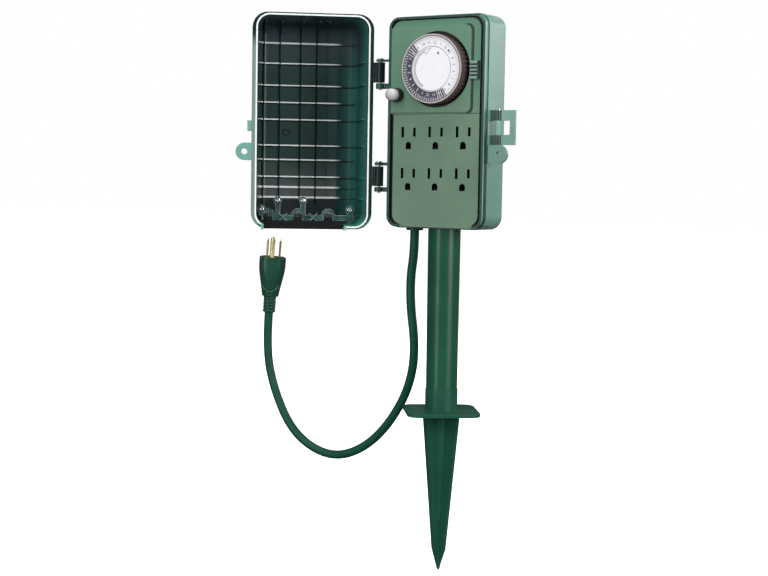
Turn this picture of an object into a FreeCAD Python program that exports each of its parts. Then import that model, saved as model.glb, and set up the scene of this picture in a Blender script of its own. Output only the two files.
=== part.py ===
import FreeCAD, Part
import math
import os
import re
import Sketcher
from FreeCAD import Placement, Rotation, Vector

# An outdoor socket timer on a ground stake, in millimetres.
# X is to the right as one faces the outlets, Y runs back, Z is up.
# The origin is on the post's axis, at the ground line under the stake's flange.

sizes = {
    # Case
    "case_half": 52.0,
    "case_low": 173.6,
    "case_high": 369.6,
    "case_back": 18.0,
    "case_wall": 2.5,
    "case_corner": 11.5,
    "back_round": 4.0,
    "face_plane": -20.0,
    "lip_rise": 1.5,
    "lip_wall": 2.2,
    "step_in": 0.9,
    "step_back": 4.5,
    "lip_cut_left": -36.0,
    "lip_cut_right": 40.0,
    # Clearances
    "fit_gap": 0.3,
    "running_gap": 0.05,
    "thread_gap": 0.02,
    # Panels
    "panel_thick": 4.0,
    "panel_skin": 2.4,
    "face_half": 45.7,
    "face_corner": 10.0,
    "divide_height": 279.2,
    "divide_gap": 0.4,
    "timer_face_left": -48.3,
    "timer_face_top": 365.3,
    "plate_right": 36.6,
    "plate_top": 358.4,
    "plate_rise": 1.5,
    "plate_corner": 5.0,
    # Outlets
    "column_pitch": 29.1,
    "row_pitch": 38.0,
    "outlet_middle": 243.6,
    "blade_offset": 6.35,
    "slot_width": 2.9,
    "neutral_slot": 9.8,
    "line_slot": 8.2,
    "ground_drop": 12.1,
    "ground_radius": 3.1,
    "ground_flat": 3.7,
    # Case screws and their bosses
    "screw_radius": 1.5,
    "screw_head": 3.1,
    "head_thick": 2.0,
    "head_recess": 3.0,
    "panel_boss": 3.6,
    "case_boss": 4.6,
    "boss_back": 11.5,
    "screw_reach": 20.0,
    "low_screw_x": 43.0,
    "low_screw_z": 183.5,
    "outlet_screw_x": 30.0,
    "outlet_screw_z": 273.5,
    "timer_screw_x": 34.0,
    "timer_screw_z": 284.5,
    "top_screw_x": 43.0,
    "top_screw_z": 358.0,
    # Dial and the clockwork behind it
    "dial_x": 1.0,
    "dial_z": 319.7,
    "dial_hole": 34.7,
    "cup_radius": 34.1,
    "cup_wall": 1.8,
    "cup_front": -17.4,
    "cup_floor": 0.2,
    "cup_back": 2.0,
    "spindle_radius": 3.0,
    "spindle_front": -30.0,
    "ring_foot": 32.5,
    "ring_front_radius": 31.5,
    "ring_front": -31.5,
    "ring_inner": 27.4,
    "ring_back": -14.5,
    "ring_plate": 2.0,
    "label_radius": 28.2,
    "label_inner": 20.2,
    "label_front": -31.1,
    "label_thick": 0.5,
    "label_web": 1.2,
    "centre_radius": 19.9,
    "centre_boss": 4.6,
    "tripper_count": 48,
    "tripper_inner": 29.5,
    "tripper_outer": 31.4,
    "tripper_width": 1.7,
    "tripper_gap": 0.1,
    "tripper_front": -31.7,
    "tripper_back": -14.8,
    "ear_radius": 3.2,
    "cup_ear": 4.6,
    "ear_out": 37.6,
    "ear_turn": 60.0,
    "ear_front": -12.0,
    "ear_thick": 2.0,
    "ear_screw": 1.3,
    "ear_head": 2.4,
    # Gears
    "gear_module": 0.7,
    "dial_teeth": 50,
    "idler_teeth": 14,
    "pinion_teeth": 10,
    "gear_slack": 0.1,
    "gear_thick": 3.0,
    "pinion_angle": 0.0,
    "axle_radius": 1.5,
    "shaft_radius": 1.2,
    "motor_radius": 14.0,
    "motor_depth": 12.4,
    "motor_rim": 1.2,
    # Snap switch worked by the trippers
    "snap_left": -22.0,
    "snap_right": -10.0,
    "snap_low": 332.0,
    "snap_high": 341.0,
    "snap_front": -9.0,
    "lever_left": -21.1,
    "lever_right": -18.9,
    "lever_pivot_y": -10.9,
    "lever_pivot_z": 330.6,
    "lever_tip": 341.8,
    "lever_thick": 0.8,
    "lever_pin": 0.6,
    "lever_ear": 0.9,
    # Slide switch
    "thumb_left": 37.0,
    "thumb_right": 45.4,
    "thumb_low": 310.1,
    "thumb_high": 326.3,
    "thumb_front": -24.2,
    "thumb_travel": 4.5,
    "thumb_ribs": 5,
    "thumb_rib": 1.3,
    "thumb_groove": 0.9,
    "neck_half": 2.0,
    "neck_low": 315.0,
    "neck_high": 321.0,
    "neck_back": -14.0,
    "slider_left": 36.4,
    "slider_right": 46.4,
    "slider_low": 306.0,
    "slider_high": 331.0,
    "slider_back": -4.0,
    "slider_well": 2.6,
    "mark_x": 41.0,
    "on_mark_z": 335.4,
    "timer_mark_z": 304.6,
    "mark_radius": 2.0,
    "mark_rise": 0.35,
    "mark_line": 0.7,
    # Reset breaker
    "reset_x": -40.4,
    "reset_z": 296.9,
    "breaker_half": 7.0,
    "breaker_back": 10.0,
    "bush_radius": 4.0,
    "bush_front": -24.6,
    "collar_radius": 6.5,
    "collar_bore": 5.9,
    "collar_front": -28.0,
    "cap_radius": 5.6,
    "cap_shoulder": -33.4,
    "cap_tip": -38.5,
    "stem_radius": 2.0,
    "stem_back": -14.0,
    # Contacts
    "carrier_half": 39.5,
    "carrier_low": 208.0,
    "carrier_high": 269.5,
    "carrier_back": 2.7,
    "carrier_foot": 3.0,
    "foot_x": 14.5,
    "foot_z": 238.0,
    "clip_hole_x": 2.4,
    "clip_hole_z": 4.6,
    "leaf_gap": 0.9,
    "leaf_thick": 0.6,
    "leaf_half": 3.4,
    "leaf_front": -13.0,
    "strap_front": 3.0,
    "strap_thick": 1.0,
    "strap_inner": 1.0,
    "strap_outer": 4.2,
    "strap_side": 36.2,
    "strap_width": 2.4,
    "ground_strap": 4.4,
    "ground_strap_half": 2.2,
    "ground_tube": 3.0,
    "ground_bore": 2.45,
    # Hinge
    "hinge_x": -63.5,
    "hinge_y": -16.0,
    "knuckle_radius": 4.2,
    "hinge_pin": 1.6,
    "pin_head": 2.6,
    "pin_head_thick": 1.0,
    "lug_front": -15.5,
    "lug_back": -11.8,
    "upper_hinge_low": 303.4,
    "upper_lug_foot": 5.1,
    "upper_leaf_tall": 20.4,
    "upper_lug_head": 2.0,
    "lower_hinge_low": 206.7,
    "lower_lug_foot": 4.5,
    "lower_leaf_tall": 20.3,
    "lower_lug_head": 3.0,
    "leaf_gap_z": 0.8,
    # Latch and padlock eyes
    "latch_x": 59.5,
    "latch_y": -10.0,
    "latch_barrel": 3.0,
    "latch_pin_radius": 1.5,
    "latch_low": 251.0,
    "latch_lug_foot": 9.0,
    "latch_barrel_tall": 13.0,
    "latch_lug_head": 9.4,
    "latch_end_gap": 0.5,
    "hasp_near": 4.0,
    "hasp_far": 18.0,
    "hasp_thick": 2.0,
    "window_near": 5.7,
    "window_far": 12.4,
    "window_tall": 12.6,
    "eye_x": 63.5,
    "eye_z": 242.5,
    "eye_radius": 8.2,
    "eye_hole": 2.7,
    "case_eye_front": -15.5,
    "case_eye_back": -12.0,
    "catch_reach": 60.8,
    "catch_front": -21.4,
    "catch_back": -17.0,
    "catch_low": 261.5,
    "catch_high": 271.5,
    # Door, drawn shut and then swung open
    "door_open": 140.0,
    "door_gap": 0.7,
    "door_wall": 2.0,
    "door_depth": 68.0,
    "door_draft": 3.0,
    "door_corner": 13.3,
    "door_round": 12.5,
    "rim_plane": -16.2,
    "rim_thick": 3.0,
    "rim_half": 57.0,
    "rim_over": 1.0,
    "rim_corner": 14.5,
    "rib_rise": 2.0,
    "rib_width": 1.4,
    "side_rib_reach": 50.0,
    "mark_ring": 3.6,
    "mark_ring_x": 19.6,
    "mark_ring_z": 263.2,
    "gasket_thick": 0.5,
    "gasket_band": 3.7,
    "mouth_left": -31.0,
    "mouth_right": 45.0,
    "mouth_depth": 18.0,
    "mouth_lip": 2.0,
    "mouth_lip_drop": 2.2,
    "strip_front": -24.5,
    "strip_back": -22.3,
    "strip_low": 170.4,
    "strip_high": 178.0,
    # Cord gate inside the door's foot
    "gate_front": -39.0,
    "gate_back": -36.0,
    "gate_left": -42.0,
    "gate_right": 46.2,
    "gate_low": 178.2,
    "gate_high": 183.2,
    "arch_radius": 6.4,
    "arch_bore": 4.4,
    "arch_z": 183.0,
    "arch_first": -17.6,
    "arch_pitch": 28.9,
    "arch_count": 3,
    "tooth_width": 0.9,
    "tooth_tall": 3.2,
    "tooth_pitch": 1.9,
    "gate_boss_radius": 3.9,
    "gate_boss_left": 6.5,
    "gate_boss_right": 30.7,
    "gate_boss_z": 197.0,
    "gate_end_left": -38.5,
    "gate_end_right": 46.0,
    "gate_end_z": 188.5,
    "gate_stem_half": 2.4,
    "gate_stop": -46.0,
    "gate_screw_head": 2.4,
    "clip_span": 9.0,
    "clip_tall": 9.0,
    "clip_thick": 1.1,
    "clip_front": -35.7,
    "clip_back": -32.5,
    "clip_foot_low": 175.3,
    "clip_foot_high": 176.5,
    # Gland and cord
    "gland_x": -32.5,
    "gland_radius": 8.0,
    "gland_drop": 2.5,
    "gland_nut": 8.8,
    "gland_nut_thick": 3.0,
    "cord_diameter": 8.5,
    "tail_top": 197.0,
    "clamp_low": 188.6,
    "clamp_high": 194.6,
    "clamp_half": 8.5,
    "clamp_split": 1.2,
    "lead_diameter": 2.4,
    "lead_depth": 3.0,
    "timer_lead_depth": 8.0,
    "tab_bite": 0.5,
    # Plug, drawn upright and then leaned
    "plug_x": -203.2,
    "plug_z": 82.9,
    "plug_lean": 4.4,
    "plug_turn": 30.0,
    "boot_radius": 6.4,
    "boot_length": 16.2,
    "boot_ribs": 5,
    "boot_groove": 1.1,
    "plug_length": 40.2,
    "plug_foot": 8.6,
    "plug_head": 14.0,
    "plug_front": -13.0,
    "plug_rear": 10.0,
    "blade_y": 2.4,
    "plug_blade_thick": 1.5,
    "plug_line_wide": 6.4,
    "plug_neutral_wide": 7.9,
    "blade_length": 17.8,
    "blade_root": 8.0,
    "blade_hole": 1.6,
    "blade_hole_up": 11.9,
    "blade_chamfer": 1.3,
    "pin_y": -9.4,
    "pin_radius": 2.4,
    "pin_root": 2.0,
    "pin_length": 20.6,
    # Post and stake
    "post_top": 15.25,
    "post_foot": 14.75,
    "post_joint": 23.0,
    "spigot_radius": 13.0,
    "spigot_up": 28.0,
    "spigot_down": 17.0,
    "post_bore": 11.5,
    "socket_wall": 2.6,
    "socket_high": 201.0,
    "post_screw_z": 191.0,
    "post_screw_tip": 6.0,
    "flange_side": 68.0,
    "flange_thick": 3.0,
    "flange_corner": 11.0,
    "flange_turn": 37.0,
    "stake_wall": 2.3,
    "spike_top": 41.6,
    "spike_low": 14.8,
    "spike_taper": 130.0,
    "spike_depth": 150.0,
    "spike_fin": 3.2,
    "spike_core": 6.0,
}

doc = FreeCAD.newDocument("SocketTimer")
sheet = doc.addObject("Spreadsheet::Sheet", "Sizes")
for row, (alias, size) in enumerate(sizes.items(), 1):
    sheet.set(f"A{row}", alias)
    sheet.set(f"B{row}", str(size))
    sheet.setAlias(f"B{row}", alias)
doc.recompute()

nodes = []
FORWARD = Rotation(Vector(1, 0, 0), 90)
AXIS_TURNS = {
    "x": Rotation(Vector(0, 1, 0), 90),
    "y": Rotation(Vector(1, 0, 0), -90),
    "z": Rotation(),
}


def mm(alias):
    return float(sheet.get(alias))


def formula(text):
    return re.sub(r"\b[a-z][a-z0-9]*_[a-z0-9_]+\b", r"Sizes.\g<0>", text)


def bind(thing, **formulas):
    for path, text in formulas.items():
        thing.setExpression(path.replace("__", "."), formula(text))


def node(label, thing):
    thing.Label = label
    nodes.append(thing)
    return thing


def block(name, x, y, z):
    box = doc.addObject("Part::Box", name)
    for side, (low, high) in zip(("Length", "Width", "Height"), (x, y, z)):
        bind(box, **{side: f"({high}) - ({low})"})
    bind(box, Placement__Base__x=x[0], Placement__Base__y=y[0], Placement__Base__z=z[0])
    return box


# A rod along one axis; centre holds its place on the other two, in the order x, y, z
def rod(name, axis, centre, radius, span):
    round_bar = doc.addObject("Part::Cylinder", name)
    round_bar.Placement = Placement(Vector(), AXIS_TURNS[axis])
    places = dict(zip([letter for letter in "xyz" if letter != axis], centre))
    places[axis] = span[0]
    bind(round_bar, Radius=radius, Height=f"({span[1]}) - ({span[0]})")
    bind(round_bar, **{f"Placement__Base__{letter}": text for letter, text in places.items()})
    return round_bar


def join(name, *pieces):
    joined = doc.addObject("Part::MultiFuse", name)
    joined.Shapes = list(pieces)
    return joined


def overlap(name, *pieces):
    shared = doc.addObject("Part::MultiCommon", name)
    shared.Shapes = list(pieces)
    return shared


def group(name, *pieces):
    held = doc.addObject("Part::Compound", name)
    held.Links = list(pieces)
    return held


def cut(name, base, *tools):
    trimmed = doc.addObject("Part::Cut", name)
    trimmed.Base = base
    trimmed.Tool = tools[0] if len(tools) == 1 else join(name + "_tools", *tools)
    return trimmed


def tube(name, axis, centre, outer, inner, span):
    return cut(name, rod(name + "_outside", axis, centre, outer, span),
               rod(name + "_bore", axis, centre, inner, span))


def origin_plane(body, role):
    return next(plane for plane in body.Origin.OriginFeatures if plane.Role == role)


def new_sketch(body, plane, lift):
    drawing = body.newObject("Sketcher::SketchObject", body.Name + "_sketch")
    drawing.AttachmentSupport = (origin_plane(body, plane), "")
    drawing.MapMode = "FlatFace"
    bind(drawing, AttachmentOffset__Base__z=lift)
    return drawing


# A closed outline whose corners are measured from the sketch's origin
def outline(drawing, corners):
    count = len(corners)
    circle = [Vector(10, 0, 0), *(Rotation(Vector(0, 0, 1), 360 * turn / count).multVec(Vector(10, 0, 0))
                                  for turn in range(1, count))]
    for start, end in zip(circle, circle[1:] + circle[:1]):
        drawing.addGeometry(Part.LineSegment(start, end), False)
    for line in range(count):
        drawing.addConstraint(Sketcher.Constraint("Coincident", line, 2, (line + 1) % count, 1))
    for line, corner in enumerate(corners):
        for text, kind, zero_axis in zip(corner, ("DistanceX", "DistanceY"), (-2, -1)):
            if text == "0":
                drawing.addConstraint(Sketcher.Constraint("PointOnObject", line, 1, zero_axis))
            else:
                place = drawing.addConstraint(Sketcher.Constraint(kind, -1, 1, line, 1, 5.0))
                drawing.setExpression(f"Constraints[{place}]", formula(text))


def round_edges(body, feature, radius, chosen):
    doc.recompute()
    edges = [f"Edge{place}" for place, edge in enumerate(feature.Shape.Edges, 1) if chosen(edge)]
    rounding = body.newObject("PartDesign::Fillet", body.Name + "_round")
    rounding.Base = (feature, edges)
    bind(rounding, Radius=radius)
    return rounding


def runs_back(edge):
    return abs(edge.tangentAt(edge.FirstParameter).y) > 0.9


# An upright plate: its outline is in X and Z, and it runs from y[0] in front to y[1] behind
def plate(name, corners, y):
    body = doc.addObject("PartDesign::Body", name)
    drawing = new_sketch(body, "XZ_Plane", f"-({y[1]})")
    outline(drawing, corners)
    pad = body.newObject("PartDesign::Pad", name + "_pad")
    pad.Profile = drawing
    bind(pad, Length=f"({y[1]}) - ({y[0]})")
    return body, pad


def slab(name, x, y, z, corner, which=lambda centre: True):
    corners = [(x[0], z[0]), (x[1], z[0]), (x[1], z[1]), (x[0], z[1])]
    body, pad = plate(name, corners, y)
    round_edges(body, pad, corner, lambda edge: runs_back(edge) and which(edge.CenterOfMass))
    return body


# A turned piece: corners hold a radius and a distance along the axis
def turned(name, corners):
    body = doc.addObject("PartDesign::Body", name)
    drawing = new_sketch(body, "XZ_Plane", "0")
    outline(drawing, corners)
    spun = body.newObject("PartDesign::Revolution", name + "_spin")
    spun.Profile = drawing
    spun.ReferenceAxis = (drawing, ["V_Axis"])
    spun.Angle = 360
    return body


# Turned about a line that runs forward, so a distance along the axis is minus Y
def turned_forward(name, x, z, corners):
    body = turned(name, corners)
    body.Placement = Placement(Vector(), FORWARD)
    bind(body, Placement__Base__x=x, Placement__Base__z=z)
    return body


# Swings a piece of the door from shut to open about the hinge's axis
def swing(thing):
    thing.Placement = Placement(Vector(), Rotation(Vector(0, 0, 1), -mm("door_open")))
    turn = "door_open * 1 deg"
    bind(thing,
         Placement__Rotation__Angle=f"-{turn}",
         Placement__Base__x=f"hinge_x * (1 - cos({turn})) - hinge_y * sin({turn})",
         Placement__Base__y=f"hinge_y * (1 - cos({turn})) + hinge_x * sin({turn})")
    return thing


# Straight runs joined by tangent arcs, each as wide as its two runs allow
def soft_tube(name, route, diameter, arc_share):
    edges = []
    radii = []
    start = route[0]
    for before, corner, after in zip(route, route[1:], route[2:]):
        back = before - corner
        ahead = after - corner
        reach = arc_share * min(back.Length, ahead.Length)
        back.normalize()
        ahead.normalize()
        half_turn = (math.pi - back.getAngle(ahead)) / 2
        radius = reach / math.tan(half_turn)
        inward = (back + ahead).normalize()
        middle = corner + inward * (radius / math.cos(half_turn) - radius)
        enter = corner + back * reach
        leave = corner + ahead * reach
        edges.append(Part.LineSegment(start, enter).toShape())
        edges.append(Part.Arc(enter, middle, leave).toShape())
        radii.append(radius)
        start = leave
    edges.append(Part.LineSegment(start, route[-1]).toShape())
    path = Part.Wire(edges)
    section = Part.Wire([Part.Circle(route[0], route[1] - route[0], diameter / 2).toShape()])
    solid = path.makePipeShell([section], True, False)
    drawn = math.pi * diameter ** 2 / 4 * path.Length
    print(name, "length", round(path.Length, 1), "volume share", round(solid.Volume / drawn, 5),
          "radii", [round(radius, 1) for radius in radii])
    thing = doc.addObject("Part::Feature", name)
    thing.Shape = solid
    return node(name, thing)


# Places that several pieces share
front_half = "case_half - step_in"
lip_front = "face_plane - lip_rise"
step_plane = "face_plane + step_back"
panel_back = "face_plane + panel_thick"
skin_back = "face_plane + panel_skin"
mouth_half = "(case_half - step_in - lip_wall)"
mouth_low = "(case_low + step_in + lip_wall)"
mouth_high = "(case_high - step_in - lip_wall)"
flange_half = f"({mouth_half} - 0.2)"
inner_back = "case_back - case_wall"
plate_front = "face_plane - plate_rise"
dial_centre = ("dial_x", "dial_z")


# Heights one above the other: a foot's height, then what each piece on it adds
def levels(low, *talls):
    heights = [low]
    for tall in talls:
        heights.append(f"({heights[-1]} + {tall})")
    return heights


upper_hinge = levels("upper_hinge_low", "upper_lug_foot", "upper_leaf_tall", "upper_lug_head")
lower_hinge = levels("lower_hinge_low", "lower_lug_foot", "lower_leaf_tall", "lower_lug_head")
latch = levels("latch_low", "latch_lug_foot", "latch_barrel_tall", "latch_lug_head")

case_screw_places = []
for across, height in (("low_screw_x", "low_screw_z"), ("outlet_screw_x", "outlet_screw_z"),
                       ("timer_screw_x", "timer_screw_z"), ("top_screw_x", "top_screw_z")):
    case_screw_places += [(f"-{across}", height), (across, height)]

outlet_places = [(f"{column} * column_pitch", f"outlet_middle + {row} * row_pitch / 2")
                 for row in (-1, 1) for column in (-1, 0, 1)]

ear_places = []
for across in (-1, 1):
    for up in (-1, 1):
        ear_places.append((f"dial_x + {across} * ear_out * cos(ear_turn * 1 deg)",
                           f"dial_z + {up} * ear_out * sin(ear_turn * 1 deg)"))


# Hinge lugs, latch lugs and padlock eyes: an arm with a round end
def lug(name, centre, radius, x, y, z):
    return join(name, rod(name + "_end", "z", centre, radius, z), block(name + "_arm", x, y, z))


def eye(name, y, root):
    height = ("eye_z - eye_radius", "eye_z + eye_radius")
    return join(name, rod(name + "_end", "y", ("eye_x", "eye_z"), "eye_radius", y),
                block(name + "_arm", (root, "eye_x"), y, height))


def rear_case():
    shell, pad = plate("case_body", [("-case_half", "case_low"), ("case_half", "case_low"),
                                     ("case_half", "case_high"), ("-case_half", "case_high")],
                       (step_plane, "case_back"))
    corners = round_edges(shell, pad, "case_corner", runs_back)
    back = mm("case_back")
    round_edges(shell, corners, "back_round",
                lambda edge: edge.BoundBox.YMin > back - 0.01)
    front = slab("case_front", (f"-({front_half})", front_half), (lip_front, f"{step_plane} + 1"),
                 ("case_low + step_in", "case_high - step_in"), "case_corner - step_in")
    hollow = slab("case_hollow", ("case_wall - case_half", "case_half - case_wall"),
                  (step_plane, inner_back), ("case_low + case_wall", "case_high - case_wall"),
                  "case_corner - case_wall")
    mouth = slab("case_mouth", (f"-{mouth_half}", mouth_half), (f"{lip_front} - 1", f"{step_plane} + 1"),
                 (mouth_low, mouth_high), "case_corner - step_in - lip_wall")
    lip_cut = block("case_lip_cut", ("lip_cut_left", "lip_cut_right"),
                    (f"{lip_front} - 1", f"{skin_back} + fit_gap"), ("case_low - 1", f"{mouth_low} + 1"))
    gland_hole = rod("case_gland_hole", "z", ("gland_x", "0"), "gland_radius + thread_gap",
                     ("case_low - 1", "case_low + case_wall + 1"))
    tray = cut("case_tray", join("case_outside", shell, front), hollow, mouth, lip_cut, gland_hole)

    added = []
    for x, z in case_screw_places:
        added.append(rod("case_screw_boss", "y", (x, z), "case_boss", ("boss_back", f"{inner_back} + 0.5")))
    added.append(rod("post_socket", "z", ("0", "0"), "spigot_radius + socket_wall",
                     ("case_low + 1", "socket_high")))
    for heights in (upper_hinge[:2], upper_hinge[2:], lower_hinge[:2], lower_hinge[2:]):
        added.append(lug("hinge_lug", ("hinge_x", "hinge_y"), "knuckle_radius",
                         ("hinge_x", "1 - case_half"), ("lug_front", "lug_back"), heights))
    for heights in (latch[:2], latch[2:]):
        added.append(lug("latch_lug", ("latch_x", "latch_y"), "latch_barrel",
                         ("case_half - 1", "latch_x"), ("latch_y - latch_barrel", "latch_y + latch_barrel"),
                         heights))
    added.append(eye("case_eye", ("case_eye_front", "case_eye_back"), "case_half - 1"))

    holes = []
    for x, z in case_screw_places:
        holes.append(rod("case_screw_hole", "y", (x, z), "screw_radius + fit_gap",
                         ("boss_back - 1", "case_back + 1")))
        holes.append(rod("case_head_recess", "y", (x, z), "screw_head + fit_gap",
                         ("case_back - head_recess", "case_back + 1")))
    holes.append(rod("post_socket_bore", "z", ("0", "0"), "spigot_radius + running_gap",
                     ("case_low - 1", "socket_high + 1")))
    holes.append(rod("post_screw_hole", "y", ("0", "post_screw_z"), "screw_radius + fit_gap",
                     ("spigot_radius - 2", "case_back + 1")))
    holes.append(rod("post_screw_recess", "y", ("0", "post_screw_z"), "screw_head + fit_gap",
                     ("case_back - head_recess + 1", "case_back + 1")))
    holes.append(rod("hinge_lug_bore", "z", ("hinge_x", "hinge_y"), "hinge_pin + thread_gap",
                     (f"{lower_hinge[0]} - 1", f"{upper_hinge[3]} + 1")))
    holes.append(rod("latch_lug_bore", "z", ("latch_x", "latch_y"), "latch_pin_radius + thread_gap",
                     (f"{latch[0]} + 1.5", f"{latch[3]} + 1")))
    holes.append(rod("case_eye_hole", "y", ("eye_x", "eye_z"), "eye_hole",
                     ("case_eye_front - 1", "case_eye_back + 1")))
    node("rear_case", cut("rear_case", join("case_whole", tray, *added), *holes))


def screw_bosses(places):
    return [rod("panel_screw_boss", "y", place, "panel_boss", (f"{panel_back} - 1", "boss_back"))
            for place in places]


def screw_pilots(places):
    return [rod("panel_screw_pilot", "y", place, "screw_radius + thread_gap",
                ("case_back - head_recess - screw_reach - 0.5", "boss_back + 1"))
            for place in places]


def outlet_panel():
    top = "divide_height - divide_gap / 2"
    bottom = lambda centre: centre.z < mm("outlet_middle")
    face = slab("outlet_face", ("-face_half", "face_half"), ("face_plane", panel_back),
                (f"{mouth_low} + fit_gap", top), "face_corner", bottom)
    flange = slab("outlet_flange", (f"-{flange_half}", flange_half), (skin_back, panel_back),
                  (f"{mouth_low} + fit_gap", top), "case_corner - step_in - lip_wall", bottom)
    tongue = block("outlet_tongue", ("lip_cut_left + fit_gap", "lip_cut_right - fit_gap"),
                   ("face_plane", skin_back), ("case_low + step_in + fit_gap", f"{mouth_low} + 12"))
    holes = []
    for x, z in outlet_places:
        for side, tall in ((-1, "neutral_slot"), (1, "line_slot")):
            middle = f"{x} + {side} * blade_offset"
            holes.append(block("blade_slot", (f"{middle} - slot_width / 2", f"{middle} + slot_width / 2"),
                               ("face_plane - 1", f"{panel_back} + 1"),
                               (f"{z} - {tall} / 2", f"{z} + {tall} / 2")))
        holes.append(rod("ground_round", "y", (x, f"{z} - ground_drop"), "ground_radius",
                         ("face_plane - 1", f"{panel_back} + 1")))
        holes.append(block("ground_square", (f"{x} - ground_radius", f"{x} + ground_radius"),
                           ("face_plane - 1", f"{panel_back} + 1"),
                           (f"{z} - ground_drop - ground_flat", f"{z} - ground_drop")))
    places = case_screw_places[:4]
    whole = join("outlet_whole", face, flange, tongue, *screw_bosses(places))
    node("outlet_panel", cut("outlet_panel", whole, *holes, *screw_pilots(places)))


def timer_panel():
    low = "divide_height + divide_gap / 2"
    above = lambda centre: centre.z > mm("dial_z")
    face = slab("timer_face", ("timer_face_left", "face_half"), ("face_plane", panel_back),
                (low, "timer_face_top"), "face_corner", above)
    flange = slab("timer_flange", (f"-{flange_half}", flange_half), (skin_back, panel_back),
                  (low, f"{mouth_high} - fit_gap"), "case_corner - step_in - lip_wall", above)
    raised = slab("timer_raised", ("timer_face_left", "plate_right"), (plate_front, "face_plane + 1"),
                  (f"{low} + 1.2", "plate_top"), "plate_corner",
                  lambda centre: centre.x > mm("dial_x"))
    ears = [rod("ear_post", "y", place, "ear_radius", (f"{panel_back} - 1", "ear_front - fit_gap"))
            for place in ear_places]
    ring = tube("timer_mark", "y", ("mark_x", "timer_mark_z"), "mark_radius",
                "mark_radius - mark_line", ("face_plane - mark_rise", "face_plane + 0.5"))
    bar = block("on_mark", ("mark_x - mark_line / 2", "mark_x + mark_line / 2"),
                ("face_plane - mark_rise", "face_plane + 0.5"),
                ("on_mark_z - mark_radius", "on_mark_z + mark_radius"))
    places = case_screw_places[4:]
    whole = join("timer_whole", face, flange, raised, *ears, ring, bar, *screw_bosses(places))
    holes = [
        rod("dial_opening", "y", dial_centre, "dial_hole", (f"{plate_front} - 1", f"{panel_back} + 1")),
        rod("bush_opening", "y", ("reset_x", "reset_z"), "bush_radius + fit_gap",
            (f"{plate_front} - 1", f"{panel_back} + 1")),
        block("thumb_slot", ("mark_x - neck_half - fit_gap", "mark_x + neck_half + fit_gap"),
              ("face_plane - 1", f"{panel_back} + 1"),
              ("neck_low - fit_gap", "neck_high + thumb_travel + fit_gap")),
    ]
    for place in ear_places:
        holes.append(rod("ear_pilot", "y", place, "ear_screw + thread_gap",
                         (f"{plate_front} + 2", "ear_front + 1")))
    node("timer_panel", cut("timer_panel", whole, *holes, *screw_pilots(places)))


# A screw along Y with its head at the back
def screw(name, place, shank, head, head_back, head_front, tip):
    return join(name, rod(name + "_shank", "y", place, shank, (tip, f"{head_front} + 0.5")),
                rod(name + "_head", "y", place, head, (head_front, head_back)))


def fasteners():
    seat = "case_back - head_recess"
    screws = [screw("case_screw", place, "screw_radius", "screw_head", f"{seat} + head_thick", seat,
                    f"{seat} - screw_reach") for place in case_screw_places]
    node("case_screws", group("case_screws", *screws))
    ear_seat = "ear_front + ear_thick"
    screws = [screw("timer_screw", place, "ear_screw", "ear_head", f"{ear_seat} + 1.6", ear_seat,
                    f"{plate_front} + 2.4") for place in ear_places]
    node("timer_screws", group("timer_screws", *screws))
    seat = "case_back - head_recess + 1"
    node("post_screw", screw("post_screw", ("0", "post_screw_z"), "screw_radius", "screw_head",
                             f"{seat} + 1.7", seat, "post_screw_tip"))


idler_place = ("dial_x", "dial_z - gear_module * (dial_teeth + idler_teeth) / 2 - gear_slack")
pinion_reach = "(gear_module * (idler_teeth + pinion_teeth) / 2 + gear_slack)"
pinion_place = (f"{idler_place[0]} + {pinion_reach} * cos(pinion_angle * 1 deg)",
                f"{idler_place[1]} + {pinion_reach} * sin(pinion_angle * 1 deg)")


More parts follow.
